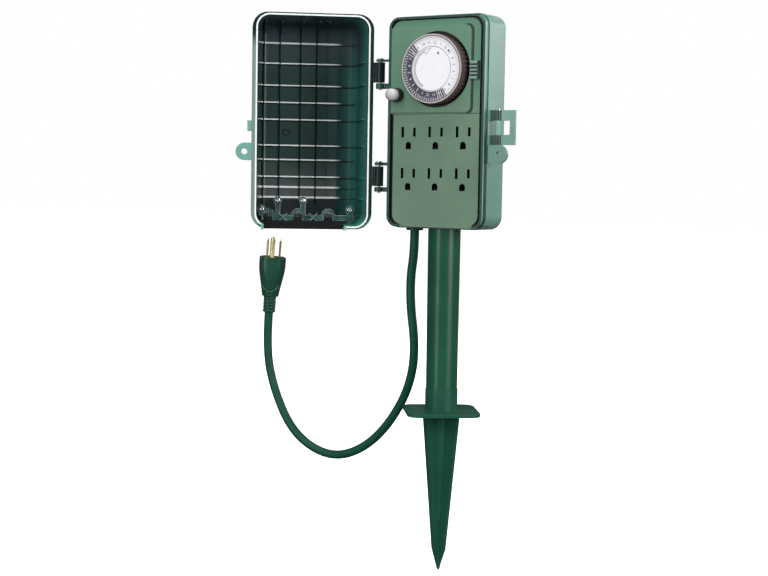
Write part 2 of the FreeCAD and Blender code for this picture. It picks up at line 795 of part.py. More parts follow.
def clockwork():
    cup = join("cup_whole",
               rod("cup_outside", "y", dial_centre, "cup_radius", ("cup_front", "cup_back")),
               *[rod("cup_ear_end", "y", place, "cup_ear", ("ear_front", "ear_front + ear_thick"))
                 for place in ear_places])
    spindle = rod("spindle", "y", dial_centre, "spindle_radius", ("spindle_front", "cup_floor + 1"))
    axle = rod("idler_axle", "y", idler_place, "axle_radius", ("ring_back + 0.4", "cup_floor + 1"))
    hollow = rod("cup_hollow", "y", dial_centre, "cup_radius - cup_wall", ("cup_front - 1", "cup_floor"))
    shaft_hole = rod("shaft_hole", "y", pinion_place, "shaft_radius + fit_gap",
                     ("cup_floor - 1", "cup_back + 1"))
    ear_holes = [rod("cup_ear_hole", "y", place, "ear_screw + fit_gap",
                     ("ear_front - 1", "ear_front + ear_thick + 1")) for place in ear_places]
    cup_shell = cut("cup_shell", cup, hollow, shaft_hole, *ear_holes)
    node("timer_housing", join("timer_housing", cup_shell, spindle, axle))

    bore = "spindle_radius + running_gap"
    back = "-ring_back"
    front = "-ring_front"
    web_front = "-label_front - label_thick"
    edge = "cup_radius - cup_wall - 0.4"
    ring = turned_forward("dial_ring", "dial_x", "dial_z", [
        (bore, back), (edge, back), (edge, "-cup_front + fit_gap"), ("ring_foot", "-cup_front + fit_gap"),
        ("ring_front_radius", front), ("label_radius", front), ("label_radius", web_front),
        ("label_inner", web_front), ("label_inner", f"{web_front} - label_web"),
        ("ring_inner", f"{web_front} - label_web"), ("ring_inner", f"{back} + ring_plate"),
        (bore, f"{back} + ring_plate")])
    drawing = new_sketch(ring, "XY_Plane", f"{back} - 1")
    half = "(tripper_width / 2 + tripper_gap)"
    outline(drawing, [("tripper_inner - tripper_gap", f"-{half}"), ("ring_foot + 2", f"-{half}"),
                      ("ring_foot + 2", half), ("tripper_inner - tripper_gap", half)])
    slot = ring.newObject("PartDesign::Pocket", "tripper_slot")
    slot.Profile = drawing
    slot.Reversed = True
    bind(slot, Length=f"{front} - ({back}) + 3")
    slots = ring.newObject("PartDesign::PolarPattern", "tripper_slots")
    slots.Originals = [slot]
    slots.Axis = (drawing, ["N_Axis"])
    slots.Angle = 360
    bind(slots, Occurrences="tripper_count")
    ring.Tip = slots
    node("dial_ring", ring)

    hour_span = ("label_front", "label_front + label_thick")
    node("hour_ring", tube("hour_ring", "y", dial_centre, "label_radius - 0.1", "label_inner", hour_span))
    disc = rod("centre_disc", "y", dial_centre, "centre_radius", ("label_front", "spindle_front - 0.1"))
    hub = rod("centre_hub", "y", dial_centre, "centre_boss", ("spindle_front - 0.2", "spindle_front + 4"))
    hub_bore = rod("centre_bore", "y", dial_centre, "spindle_radius + thread_gap",
                   ("spindle_front - thread_gap", "spindle_front + 5"))
    node("dial_centre", cut("dial_centre", join("centre_whole", disc, hub), hub_bore))


# Trippers stand in the ring's slots; each group is a quarter of the day
def trippers():
    count = int(mm("tripper_count"))
    names = ("night_trippers", "morning_trippers", "afternoon_trippers", "evening_trippers")
    for quarter, name in enumerate(names):
        plates = []
        for place in range(quarter * count // 4, (quarter + 1) * count // 4):
            turn = f"({place} * 360 / tripper_count * 1 deg)"
            tab = doc.addObject("Part::Box", "tripper")
            tab.Placement = Placement(Vector(), Rotation(Vector(0, 1, 0), -360 * place / count))
            bind(tab, Length="tripper_outer - tripper_inner", Width="tripper_back - tripper_front",
                 Height="tripper_width",
                 Placement__Base__x=(f"dial_x + tripper_inner * cos{turn} + tripper_width / 2 * sin{turn}"),
                 Placement__Base__y="tripper_front",
                 Placement__Base__z=(f"dial_z + tripper_inner * sin{turn} - tripper_width / 2 * cos{turn}"))
            plates.append(tab)
        node(name, group(name, *plates))


# A spur gear's outline: four corners a tooth, slim enough to run free in its mate
def gear(name, place, teeth, first_tooth, span, bore):
    count = int(mm(teeth))
    module = mm("gear_module")
    tip = module * (count / 2 + 0.8)
    root = module * (count / 2 - 1.1)
    step = 2 * math.pi / count
    corners = []
    for tooth in range(count):
        middle = math.radians(first_tooth) + tooth * step
        for radius, share in ((root, -0.24), (tip, -0.12), (tip, 0.12), (root, 0.24)):
            angle = middle + share * step
            corners.append(Vector(radius * math.cos(angle), 0, radius * math.sin(angle)))
    face = Part.Face(Part.makePolygon(corners + corners[:1]))
    wheel = face.extrude(Vector(0, span[1] - span[0], 0))
    if bore:
        wheel = wheel.cut(Part.makeCylinder(bore, span[1] - span[0], Vector(), Vector(0, 1, 0)))
    thing = doc.addObject("Part::Feature", name)
    thing.Shape = wheel
    bind(thing, Placement__Base__x=place[0], Placement__Base__z=place[1])
    thing.setExpression("Placement.Base.y", str(span[0]))
    return thing


def gears():
    back = mm("ring_back")
    span = (back, back + mm("gear_thick"))
    down = -90.0
    idler_gap = 90.0 + 180.0 / mm("idler_teeth")
    turned_by = mm("pinion_angle")
    # The idler's tooth nearest the line to the pinion sets where the pinion has a gap
    step = 360.0 / mm("idler_teeth")
    lead = (turned_by - idler_gap) / step
    off_line = (lead - round(lead)) * step
    pinion_step = 360.0 / mm("pinion_teeth")
    pinion_gap = turned_by + 180.0 + pinion_step / 2 + off_line * mm("idler_teeth") / mm("pinion_teeth")
    node("dial_gear", gear("dial_gear", dial_centre, "dial_teeth", down, span,
                           mm("spindle_radius") + mm("running_gap")))
    node("idler_gear", gear("idler_gear", idler_place, "idler_teeth", idler_gap,
                            (span[0] + 0.2, span[1] - 0.2), mm("axle_radius") + mm("running_gap")))
    wheel = gear("pinion_wheel", pinion_place, "pinion_teeth", pinion_gap,
                 (span[0] + 0.2, span[1] - 0.2), 0)
    shaft = rod("pinion_shaft", "y", pinion_place, "shaft_radius",
                ("ring_back + gear_thick - 0.5", "cup_back + 2"))
    node("motor_pinion", join("motor_pinion", wheel, shaft))
    can = rod("motor_can", "y", pinion_place, "motor_radius",
              ("cup_back + motor_rim", "cup_back + motor_depth"))
    rim = rod("motor_rim_plate", "y", pinion_place, "motor_radius - 1",
              ("cup_back", "cup_back + motor_rim + 0.5"))
    well = rod("motor_well", "y", pinion_place, "shaft_radius + running_gap",
               ("cup_back - 1", "cup_back + 2.2"))
    node("timer_motor", cut("timer_motor", join("motor_whole", can, rim), well))


def snap_switch():
    body = block("snap_body", ("snap_left", "snap_right"), ("snap_front", "cup_floor"),
                 ("snap_low", "snap_high"))
    pivot_z = ("lever_pivot_z - 1.2", "snap_low + 1")
    ears = []
    for low, high in (("lever_left - 0.1 - lever_ear", "lever_left - 0.1"),
                      ("lever_right + 0.1", "lever_right + 0.1 + lever_ear")):
        ears.append(block("lever_ear_block", (low, high), ("lever_pivot_y - 1.1", "cup_floor"), pivot_z))
    pivot_bore = rod("lever_pivot_bore", "x", ("lever_pivot_y", "lever_pivot_z"), "lever_pin + running_gap",
                     ("lever_left - 3", "lever_right + 3"))
    whole = join("snap_whole", body, *ears)
    node("micro_switch", cut("micro_switch", whole, pivot_bore))
    arm = block("lever_arm", ("lever_left", "lever_right"),
                ("lever_pivot_y - lever_thick / 2", "lever_pivot_y + lever_thick / 2"),
                ("lever_pivot_z", "lever_tip"))
    pivot = rod("lever_pivot", "x", ("lever_pivot_y", "lever_pivot_z"), "lever_pin",
                ("lever_left - lever_ear", "lever_right + lever_ear"))
    node("switch_lever", join("switch_lever", arm, pivot))


def slide_switch():
    neck_x = ("mark_x - neck_half", "mark_x + neck_half")
    back = f"{panel_back} + fit_gap"
    body = block("slider_block", ("slider_left", "slider_right"), (back, "slider_back"),
                 ("slider_low", "slider_high"))
    well = block("slider_well_cut", ("mark_x - neck_half - fit_gap", "mark_x + neck_half + fit_gap"),
                 (f"{back} - 1", f"{back} + slider_well"),
                 ("neck_low - fit_gap", "neck_high + thumb_travel + fit_gap"))
    node("slide_switch_body", cut("slide_switch_body", body, well))
    cap = block("thumb_cap", ("thumb_left", "thumb_right"),
                ("thumb_front", "face_plane - fit_gap - mark_rise"), ("thumb_low", "thumb_high"))
    neck = block("thumb_neck", neck_x, ("face_plane - 2", "neck_back"), ("neck_low", "neck_high"))
    count = int(mm("thumb_ribs"))
    grooves = []
    for place in range(1, count):
        middle = f"thumb_low + {place} * (thumb_high - thumb_low) / thumb_ribs"
        grooves.append(block("thumb_groove_cut", ("thumb_left - 1", "thumb_right + 1"),
                             ("thumb_front - 1", "thumb_front + thumb_rib"),
                             (f"{middle} - thumb_groove", f"{middle} + thumb_groove")))
    node("slide_thumb", join("slide_thumb", cut("thumb_ribbed", cap, *grooves), neck))


def reset_breaker():
    place = ("reset_x", "reset_z")
    back = f"{panel_back} + fit_gap"
    body = block("breaker_block", ("reset_x - breaker_half", "reset_x + breaker_half"),
                 (back, "breaker_back"), ("reset_z - breaker_half", "reset_z + breaker_half"))
    bush = rod("breaker_bush", "y", place, "bush_radius", ("bush_front", f"{back} + 1"))
    bore = rod("breaker_bore", "y", place, "stem_radius + running_gap", ("bush_front - 1", "stem_back + 4"))
    node("breaker_body", cut("breaker_body", join("breaker_whole", body, bush), bore))
    collar = rod("collar_outside", "y", place, "collar_radius", ("collar_front", plate_front))
    well = rod("collar_well", "y", place, "collar_bore", ("collar_front - 1", "bush_front"))
    thread = rod("collar_thread", "y", place, "bush_radius + thread_gap",
                 ("bush_front - 1", f"{plate_front} + 1"))
    node("breaker_collar", cut("breaker_collar", collar, well, thread))
    rise = "(cap_shoulder - cap_tip)"
    node("reset_button", turned_forward("reset_button", "reset_x", "reset_z", [
        ("0", "-stem_back"), ("stem_radius", "-stem_back"), ("stem_radius", "-collar_front"),
        ("cap_radius", "-collar_front"), ("cap_radius", "-cap_shoulder"),
        ("cap_radius * 0.92", f"{rise} * 0.39 - cap_shoulder"),
        ("cap_radius * 0.71", f"{rise} * 0.72 - cap_shoulder"),
        ("cap_radius * 0.38", f"{rise} * 0.93 - cap_shoulder"), ("0", "-cap_tip")]))


def contacts():
    body = block("carrier_block", ("-carrier_half", "carrier_half"),
                 (f"{panel_back} + fit_gap", "carrier_back"), ("carrier_low", "carrier_high"))
    feet = [rod("carrier_foot_rod", "y", (f"{side} * foot_x", "foot_z"), "carrier_foot",
                ("carrier_back - 1", f"{inner_back} - fit_gap")) for side in (-1, 1)]
    holes = []
    leaves = {-1: [], 1: []}
    tubes = []
    through = (f"{panel_back} - 1", "carrier_back + 1")
    for x, z in outlet_places:
        for side in (-1, 1):
            middle = f"{x} + {side} * blade_offset"
            holes.append(block("clip_hole", (f"{middle} - clip_hole_x", f"{middle} + clip_hole_x"), through,
                               (f"{z} - clip_hole_z", f"{z} + clip_hole_z")))
            for hand in (-1, 1):
                near = f"{middle} + {hand} * leaf_gap"
                far = f"{middle} + {hand} * (leaf_gap + leaf_thick)"
                ends = (far, near) if hand < 0 else (near, far)
                leaves[side].append(block("contact_leaf", ends, ("leaf_front", "strap_front - fit_gap"),
                                          (f"{z} - leaf_half", f"{z} + leaf_half")))
                tab = ("strap_inner", "leaf_half") if side > 0 else ("-leaf_half", "-strap_inner")
                leaves[side].append(block("contact_tab", ends, ("strap_front - 1", "strap_front + tab_bite"),
                                          (f"{z} + {tab[0]}", f"{z} + {tab[1]}")))
        drop = f"{z} - ground_drop"
        holes.append(rod("ground_tube_hole", "y", (x, drop), "ground_tube + fit_gap", through))
        tubes.append(tube("ground_sleeve", "y", (x, drop), "ground_tube", "ground_bore",
                          ("leaf_front", "ground_strap + 0.4")))
    node("contact_carrier", cut("contact_carrier", join("carrier_whole", body, *feet), *holes))
    strap_y = ("strap_front", "strap_front + strap_thick")
    rows = [f"outlet_middle + {row} * row_pitch / 2" for row in (-1, 1)]
    for side, name in ((1, "line_bus"), (-1, "neutral_bus")):
        edge = ("strap_inner", "strap_outer") if side > 0 else ("-strap_outer", "-strap_inner")
        far_end = f"{side} * (strap_side + strap_width)"
        near_end = f"{-side} * (column_pitch - blade_offset) - {side} * (leaf_gap + leaf_thick)"
        ends = (near_end, far_end) if side > 0 else (far_end, near_end)
        straps = [block("bus_strap", ends, strap_y, (f"{row} + {edge[0]}", f"{row} + {edge[1]}"))
                  for row in rows]
        upright_x = ("strap_side", far_end) if side > 0 else (far_end, "-strap_side")
        upright = block("bus_upright", upright_x, strap_y,
                        (f"{rows[0]} + {edge[0]}", f"{rows[1]} + {edge[1]}"))
        node(name, join(name, *straps, upright, *leaves[side]))
    ground_y = ("ground_strap", "ground_strap + strap_thick")
    straps = [block("ground_row", ("-column_pitch - ground_tube", "column_pitch + ground_tube"), ground_y,
                    (f"{row} - ground_drop - ground_strap_half", f"{row} - ground_drop + ground_strap_half"))
              for row in rows]
    upright = block("ground_upright", ("-ground_strap_half", "ground_strap_half"), ground_y,
                    (f"{rows[0]} - ground_drop", f"{rows[1]} - ground_drop"))
    node("ground_bus", join("ground_bus", *straps, upright, *tubes))


def hinge_and_latch():
    pins = []
    for low, _, _, high in (upper_hinge, lower_hinge):
        shank = rod("hinge_pin_shank", "z", ("hinge_x", "hinge_y"), "hinge_pin",
                    (f"{low} - 1", f"{high} + 0.5"))
        head = rod("hinge_pin_head", "z", ("hinge_x", "hinge_y"), "pin_head",
                   (high, f"{high} + pin_head_thick"))
        pins.append(join("hinge_pin_whole", shank, head))
    node("hinge_pins", group("hinge_pins", *pins))
    node("latch_pin", join("latch_pin",
                           rod("latch_pin_shank", "z", ("latch_x", "latch_y"), "latch_pin_radius",
                               (f"{latch[0]} + 2", f"{latch[3]} + 0.5")),
                           rod("latch_pin_head", "z", ("latch_x", "latch_y"), "pin_head",
                               (latch[3], f"{latch[3]} + pin_head_thick"))))
    barrel_z = (f"{latch[1]} + latch_end_gap", f"{latch[2]} - latch_end_gap")
    flat = ("latch_y - hasp_thick / 2", "latch_y + hasp_thick / 2")
    barrel = rod("hasp_barrel", "z", ("latch_x", "latch_y"), "latch_barrel", barrel_z)
    arm = block("hasp_arm", ("latch_x", "latch_x + hasp_near + 1"), flat, barrel_z)
    leaf = block("hasp_leaf", ("latch_x + hasp_near", "latch_x + hasp_far"), flat,
                 (latch[0], latch[3]))
    window = block("hasp_window", ("latch_x + window_near", "latch_x + window_far"),
                   ("latch_y - hasp_thick", "latch_y + hasp_thick"),
                   (f"{latch[1]} + fit_gap", f"{latch[1]} + fit_gap + window_tall"))
    bore = rod("hasp_bore", "z", ("latch_x", "latch_y"), "latch_pin_radius + running_gap",
               (latch[1], latch[2]))
    node("latch_hasp", cut("latch_hasp", join("hasp_whole", barrel, arm, leaf), window, bore))


# The door's hollow form, drawn in from the skirt's outside by some thickness
def door_form(name, inset, rim_extra):
    half = f"(case_half - step_in + door_gap + door_wall - {inset})"
    low = f"(case_low + step_in - door_gap - door_wall + {inset})"
    high = f"(case_high - step_in + door_gap + door_wall - {inset})"
    corners = [(f"-{half}", low), (half, low), (half, high), (f"-{half}", high)]
    body = doc.addObject("PartDesign::Body", name)
    drawing = new_sketch(body, "XZ_Plane", "-rim_plane")
    outline(drawing, corners)
    pad = body.newObject("PartDesign::Pad", name + "_pad")
    pad.Profile = drawing
    bind(pad, Length=f"door_depth - {inset}", TaperAngle="-door_draft")
    upright = round_edges(body, pad, f"door_corner - {inset}", runs_back)
    doc.recompute()
    back = min(vertex.Y for vertex in upright.Shape.Vertexes)
    round_edges(body, upright, f"door_round - {inset}",
                lambda edge: max(vertex.Y for vertex in edge.Vertexes) < back + 0.01)
    if not rim_extra:
        return body
    mouth = slab(name + "_mouth", (f"-{half}", half), ("rim_plane", f"rim_plane + {rim_extra}"),
                 (low, high), f"door_corner - {inset}")
    return join(name + "_open", body, mouth)


ribs_across = (348.9, 329.5, 308.2, 291.7, 275.1, 249.8, 236.1, 219.4, 209.2, 199.3)
ribs_up_the_side = (329.5, 308.2, 275.1, 249.8, 219.4, 199.3)
ribs_upright = (42.7, 27.0, 6.8, -8.9, -18.0)


def door_ribs():
    back = "rim_plane - door_depth - 1"
    half = "rib_width / 2"
    bars = []
    for height in ribs_across:
        span = (f"{height} - {half}", f"{height} + {half}")
        bars.append(block("rib_across", ("-side_rib_reach + 4", "side_rib_reach - 4"),
                          (back, "rim_plane - door_depth + door_wall + 12"), span))
        if height in ribs_up_the_side:
            bars.append(block("rib_side", ("-case_half - 4", "0"),
                              (back, "rim_plane - door_depth + side_rib_reach"), span))
    for across in ribs_upright:
        bars.append(block("rib_upright", (f"{across} - {half}", f"{across} + {half}"),
                          (back, "rim_plane - door_depth + side_rib_reach - 8"),
                          ("outlet_middle - 50", "case_high + 4")))
    bars.append(tube("moulding_ring", "y", ("mark_ring_x", "mark_ring_z"), "mark_ring", "mark_ring - 0.8",
                     (back, "rim_plane - door_depth + door_wall + 4")))
    inner = door_form("rib_outside", "door_wall", "")
    core = door_form("rib_inside", "(door_wall + rib_rise)", "1")
    grown = overlap("rib_layer", join("rib_bars", *bars), inner)
    return cut("door_rib_set", grown, core)


def door():
    outer = door_form("skirt_outside", "0", "")
    inner = door_form("skirt_inside", "door_wall", "2")
    rim_z = ("case_low + step_in - door_gap - door_wall - rim_over",
             "case_high - step_in + door_gap + door_wall + rim_over")
    rim = slab("door_rim", ("-rim_half", "rim_half"), ("rim_plane - rim_thick", "rim_plane"), rim_z,
               "rim_corner")
    foot = block("door_mouth", ("mouth_left", "mouth_right"), ("rim_plane - mouth_depth", "rim_plane + 2"),
                 ("case_low - 8", "case_low + step_in + 3"))
    shell = cut("door_shell_plain", join("door_outside", outer, rim), inner, foot)

    added = [door_ribs()]
    arm_y = ("rim_plane - rim_thick", "rim_plane - 0.2")
    for low, high in (upper_hinge[1:3], lower_hinge[1:3]):
        added.append(lug("door_leaf", ("hinge_x", "hinge_y"), "knuckle_radius", ("hinge_x", "1 - rim_half"),
                         arm_y, (f"{low} + leaf_gap_z", f"{high} - leaf_gap_z")))
    added.append(eye("door_eye", ("rim_plane - rim_thick", "rim_plane"), "rim_half - 2"))
    added.append(block("door_catch", ("rim_half - 1", "catch_reach"), ("catch_front", "catch_back"),
                       ("catch_low", "catch_high")))
    lip_y = ("strip_front", "rim_plane")
    lip_z = ("case_low + step_in - door_gap - door_wall - mouth_lip_drop", "case_low + step_in - door_gap")
    added.append(block("mouth_lip_left", ("mouth_left - mouth_lip", "mouth_left"), lip_y, lip_z))
    added.append(block("mouth_lip_right", ("mouth_right", "mouth_right + mouth_lip"), lip_y, lip_z))
    pillar_y = ("gate_stop", "gate_front")
    pillars = []
    pilots = []
    for x, z in gate_screw_places:
        pillars.append(block("gate_pillar", (f"{x} - gate_stem_half", f"{x} + gate_stem_half"), pillar_y,
                             ("case_low", z)))
        pillars.append(rod("gate_pillar_top", "y", (x, z), "gate_boss_radius - 0.5", pillar_y))
        pilots.append(rod("gate_pilot", "y", (x, z), "ear_screw + thread_gap",
                          ("gate_stop + 1", "gate_front + 1")))
    added.append(overlap("gate_pillars", join("gate_pillar_set", *pillars), outer))
    holes = [
        rod("leaf_bore", "z", ("hinge_x", "hinge_y"), "hinge_pin + running_gap",
            (lower_hinge[0], upper_hinge[3])),
        rod("door_eye_hole", "y", ("eye_x", "eye_z"), "eye_hole",
            ("rim_plane - rim_thick - 1", "rim_plane + 1")),
        *pilots,
    ]
    node("door_shell", swing(cut("door_shell", join("door_whole", shell, *added), *holes)))

    band = f"(case_half - step_in + door_gap + {{}})"
    seal_low = "(case_low + step_in - door_gap - {})"
    seal_high = "(case_high - step_in + door_gap + {})"
    seals = []
    for name, grow in (("gasket_outside", "gasket_band"), ("gasket_inside", "0.1")):
        seals.append(slab(name, (f"-{band.format(grow)}", band.format(grow)),
                          ("rim_plane", "rim_plane + gasket_thick"),
                          (seal_low.format("min(" + grow + "; door_wall + 0.8)"),
                           seal_high.format("min(" + grow + "; door_wall + 0.8)")),
                          "door_corner - door_wall + " + grow))
    gap = block("gasket_gap", ("mouth_left - mouth_lip - 0.3", "mouth_right + mouth_lip + 0.3"),
                ("rim_plane - 1", "rim_plane + 2"), ("case_low - 8", "case_low + step_in + 3"))
    node("door_gasket", swing(cut("door_gasket", seals[0], seals[1], gap)))


gate_screw_places = [("gate_end_left", "gate_end_z"), ("gate_boss_left", "gate_boss_z"),
                     ("gate_boss_right", "gate_boss_z"), ("gate_end_right", "gate_end_z")]


def cord_gate():
    y = ("gate_front", "gate_back")
    through = ("gate_front - 1", "gate_back + 1")
    bar = block("gate_bar", ("gate_left", "gate_right"), y, ("gate_low", "gate_high"))
    added = [bar]
    cuts = []
    teeth = []
    for place in range(int(mm("arch_count"))):
        middle = f"arch_first + {place} * arch_pitch"
        added.append(rod("gate_arch", "y", (middle, "arch_z"), "arch_radius", y))
        cuts.append(rod("gate_arch_bore", "y", (middle, "arch_z"), "arch_bore", through))
        cuts.append(block("gate_arch_foot", (f"{middle} - arch_bore", f"{middle} + arch_bore"), through,
                          ("gate_low - 8", "arch_z")))
        for tooth in (-1.5, -0.5, 0.5, 1.5):
            centre = f"{middle} + {tooth} * tooth_pitch"
            teeth.append(block("gate_tooth", (f"{centre} - tooth_width / 2", f"{centre} + tooth_width / 2"),
                               ("gate_front + 1", "gate_back - 0.6"),
                               ("arch_z + arch_bore - tooth_tall", "arch_z + arch_bore + 0.6")))
    for x, z in gate_screw_places:
        added.append(rod("gate_boss", "y", (x, z), "gate_boss_radius", y))
        added.append(block("gate_stem", (f"{x} - gate_stem_half", f"{x} + gate_stem_half"), y,
                           ("gate_high - 1", z)))
        cuts.append(rod("gate_screw_hole", "y", (x, z), "ear_screw + fit_gap", through))
    trimmed = cut("gate_plain", join("gate_whole", *added), *cuts)
    node("cord_gate", swing(join("cord_gate", trimmed, *teeth)))

    screws = []
    for x, z in gate_screw_places:
        screws.append(screw("gate_screw", (x, z), "ear_screw", "gate_screw_head", "gate_back + 1.5",
                            "gate_back", "gate_stop + 1.3"))
    node("gate_screws", swing(group("gate_screws", *screws)))

    clips = []
    for place in range(int(mm("arch_count")) - 1):
        middle = f"arch_first + ({place} + 0.5) * arch_pitch"
        lean = math.degrees(math.atan2(mm("clip_tall"), mm("clip_span")))
        arms = []
        for hand in (-1, 1):
            arm = doc.addObject("Part::Box", "clip_arm")
            arm.Placement = Placement(Vector(), Rotation(Vector(0, 1, 0), -hand * lean))
            bind(arm, Length="clip_span * 1.3", Width="clip_back - (clip_front)", Height="clip_thick",
                 Placement__Base__x=f"{middle} - clip_span * 0.65 * cos({hand * lean} * 1 deg)",
                 Placement__Base__y="clip_front",
                 Placement__Base__z=f"gate_low + 2 - clip_span * 0.65 * sin({hand * lean} * 1 deg)")
            arms.append(arm)
        foot = block("clip_foot", (f"{middle} - clip_span / 2", f"{middle} + clip_span / 2"),
                     ("clip_front", "clip_back"), ("clip_foot_low", "clip_foot_high"))
        clips.append(join("clip_whole", *arms, foot))
    node("gate_clips", swing(group("gate_clips", *clips)))

    strip = block("strip_flap", ("mouth_left + fit_gap", "mouth_right - fit_gap"),
                  ("strip_front", "strip_back"), ("strip_low", "strip_high"))
    node("cord_seal_strip", swing(group("cord_seal_strip", strip)))


def gland_and_cord():
    diameter = mm("cord_diameter")
    bottom = "case_low - gland_drop"
    seat = "case_low + case_wall"
    axis = ("gland_x", "0")
    body = rod("gland_body", "z", axis, "gland_radius", (bottom, f"{seat} + gland_nut_thick"))
    nut = rod("gland_nut_ring", "z", axis, "gland_nut", (seat, f"{seat} + gland_nut_thick"))
    bore = rod("gland_bore", "z", axis, "cord_diameter / 2 + thread_gap",
               (f"{bottom} - 1", f"{seat} + gland_nut_thick + 1"))
    node("cord_gland", cut("cord_gland", join("gland_whole", body, nut), bore))
    node("cord_tail", rod("cord_tail", "z", axis, "cord_diameter / 2", (bottom, "tail_top")))

    height = ("clamp_low", "clamp_high")
    x = ("gland_x - clamp_half", "gland_x + clamp_half")
    hole = rod("clamp_hole", "z", axis, "cord_diameter / 2 + thread_gap", ("clamp_low - 1", "clamp_high + 1"))
    screw_x = [f"gland_x + {side} * (clamp_half - 2)" for side in (-1, 1)]
    middle = "(clamp_low + clamp_high) / 2"
    screw_holes = [rod("clamp_screw_hole", "y", (place, middle), "ear_screw + thread_gap",
                       ("-clamp_half", inner_back)) for place in screw_x]
    base = block("clamp_base_block", x, ("clamp_split / 2", f"{inner_back} - thread_gap"), height)
    saddle = block("clamp_saddle_block", x, ("-clamp_half + 1", "-clamp_split / 2"), height)
    node("clamp_base", cut("clamp_base", base, hole, *screw_holes))
    node("clamp_saddle", cut("clamp_saddle", saddle, hole, *screw_holes))
    screws = []
    for place in screw_x:
        screws.append(join("clamp_screw",
                           rod("clamp_shank", "y", (place, middle), "ear_screw",
                               ("-clamp_half + 0.5", "clamp_half")),
                           rod("clamp_head", "y", (place, middle), "ear_head - 0.4",
                               ("-clamp_half - 0.5", "-clamp_half + 1"))))
    node("clamp_screws", group("clamp_screws", *screws))

    exit_point = Vector(mm("gland_x"), 0, mm("case_low") - mm("gland_drop"))
    lean = math.radians(mm("plug_lean"))
    boot = Vector(mm("plug_x"), 0, mm("plug_z"))
    last_run = 38.0
    route = [
        exit_point,
        Vector(exit_point.x, 0, 150),
        Vector(-36.2, 0, 127),
        Vector(-35.6, 0, 98),
        Vector(-31.8, 2, 66.7),
        Vector(-35, 6, 37.8),
        Vector(-47, 10, 8.0),
        Vector(-67, 9, -22.5),
        Vector(-88.5, 6, -43.1),
        Vector(-115.6, 2.5, -55.3),
        Vector(-144.6, 0.5, -51.9),
        Vector(-174.2, 0, -33.2),
        Vector(-195.5, 0, 4.5),
        boot - Vector(math.sin(lean), 0, math.cos(lean)) * last_run,
        boot,
    ]
    soft_tube("power_cord", route, diameter, 0.45)


def leads():
    diameter = mm("lead_diameter")
    top = mm("tail_top")
    x = mm("gland_x")
    apart = mm("cord_diameter") / 2 - diameter / 2 - 0.3
    wall = mm("case_half") - mm("case_wall") - diameter / 2 - 1.2
    row_low = mm("outlet_middle") - mm("row_pitch") / 2
    behind = diameter / 2 + mm("fit_gap")
    strap_back = mm("strap_front") + mm("strap_thick") + behind
    ground_back = mm("ground_strap") + mm("strap_thick") + behind
    neutral_end = -(mm("strap_side") + mm("strap_width") / 2)
    ground_end = -mm("column_pitch") + 0.6
    breaker_low = mm("reset_z") - mm("breaker_half")
    breaker_end = mm("reset_x") - 3
    depth = mm("lead_depth")
    soft_tube("line_lead", [
        Vector(x - apart, 0, top), Vector(x - apart, 0, top + 4), Vector(-wall, depth, top + 14),
        Vector(-wall, depth, breaker_low - 12), Vector(breaker_end, depth, breaker_low - 3),
        Vector(breaker_end, depth, breaker_low)], diameter, 0.45)
    soft_tube("neutral_lead", [
        Vector(x, 0, top), Vector(x, 0, top + 5), Vector(neutral_end, strap_back, top + 9),
        Vector(neutral_end, strap_back, row_low - 1)], diameter, 0.45)
    soft_tube("ground_lead", [
        Vector(x + apart, 0, top), Vector(x + apart, 0, top + 2.5),
        Vector(ground_end, ground_back, top + 8.5),
        Vector(ground_end, ground_back, row_low - mm("ground_drop") + 1)], diameter, 0.45)
    motor = doc.getObject("motor_can")
    motor.recompute()
    motor_left = motor.Placement.Base.x - mm("motor_radius")
    motor_z = motor.Placement.Base.z
    breaker_right = mm("reset_x") + mm("breaker_half")
    depth = mm("timer_lead_depth")
    soft_tube("timer_lead", [
        Vector(breaker_right, depth, mm("reset_z")), Vector(breaker_right + 5, depth, mm("reset_z")),
        Vector((breaker_right + motor_left) / 2, depth + 1, motor_z - 4),
        Vector(motor_left - 5, depth, motor_z),
        Vector(motor_left - mm("running_gap"), depth, motor_z)], diameter, 0.45)


# Stands a piece of the plug on the cord's end, leaned and turned as it hangs
def hang_plug(thing):
    lean = Rotation(Vector(0, 1, 0), mm("plug_lean"))
    turn = Rotation(Vector(0, 0, 1), mm("plug_turn"))
    thing.Placement = Placement(Vector(), lean.multiply(turn))
    bind(thing, Placement__Base__x="plug_x", Placement__Base__z="plug_z")
    return thing


# A flat plug blade with its hole and chamfered tip; its outline is in Y and Z
def plug_blade(middle, wide, top):
    edge = f"{wide} / 2"
    tip = f"{top} + blade_length"
    root = f"{top} - blade_root"
    flat, _ = plate("blade_flat", [
        (f"-{edge}", root), (edge, root), (edge, f"{tip} - blade_chamfer"), (f"{edge} - blade_chamfer", tip),
        (f"blade_chamfer - {edge}", tip), (f"-{edge}", f"{tip} - blade_chamfer")],
        ("-plug_blade_thick / 2", "plug_blade_thick / 2"))
    flat.Placement = Placement(Vector(), Rotation(Vector(0, 0, 1), 90))
    bind(flat, Placement__Base__x=middle, Placement__Base__y="blade_y")
    eye_hole = rod("blade_eye", "x", ("blade_y", f"{top} + blade_hole_up"), "blade_hole",
                   (f"{middle} - plug_blade_thick", f"{middle} + plug_blade_thick"))
    return cut("plug_blade", flat, eye_hole)


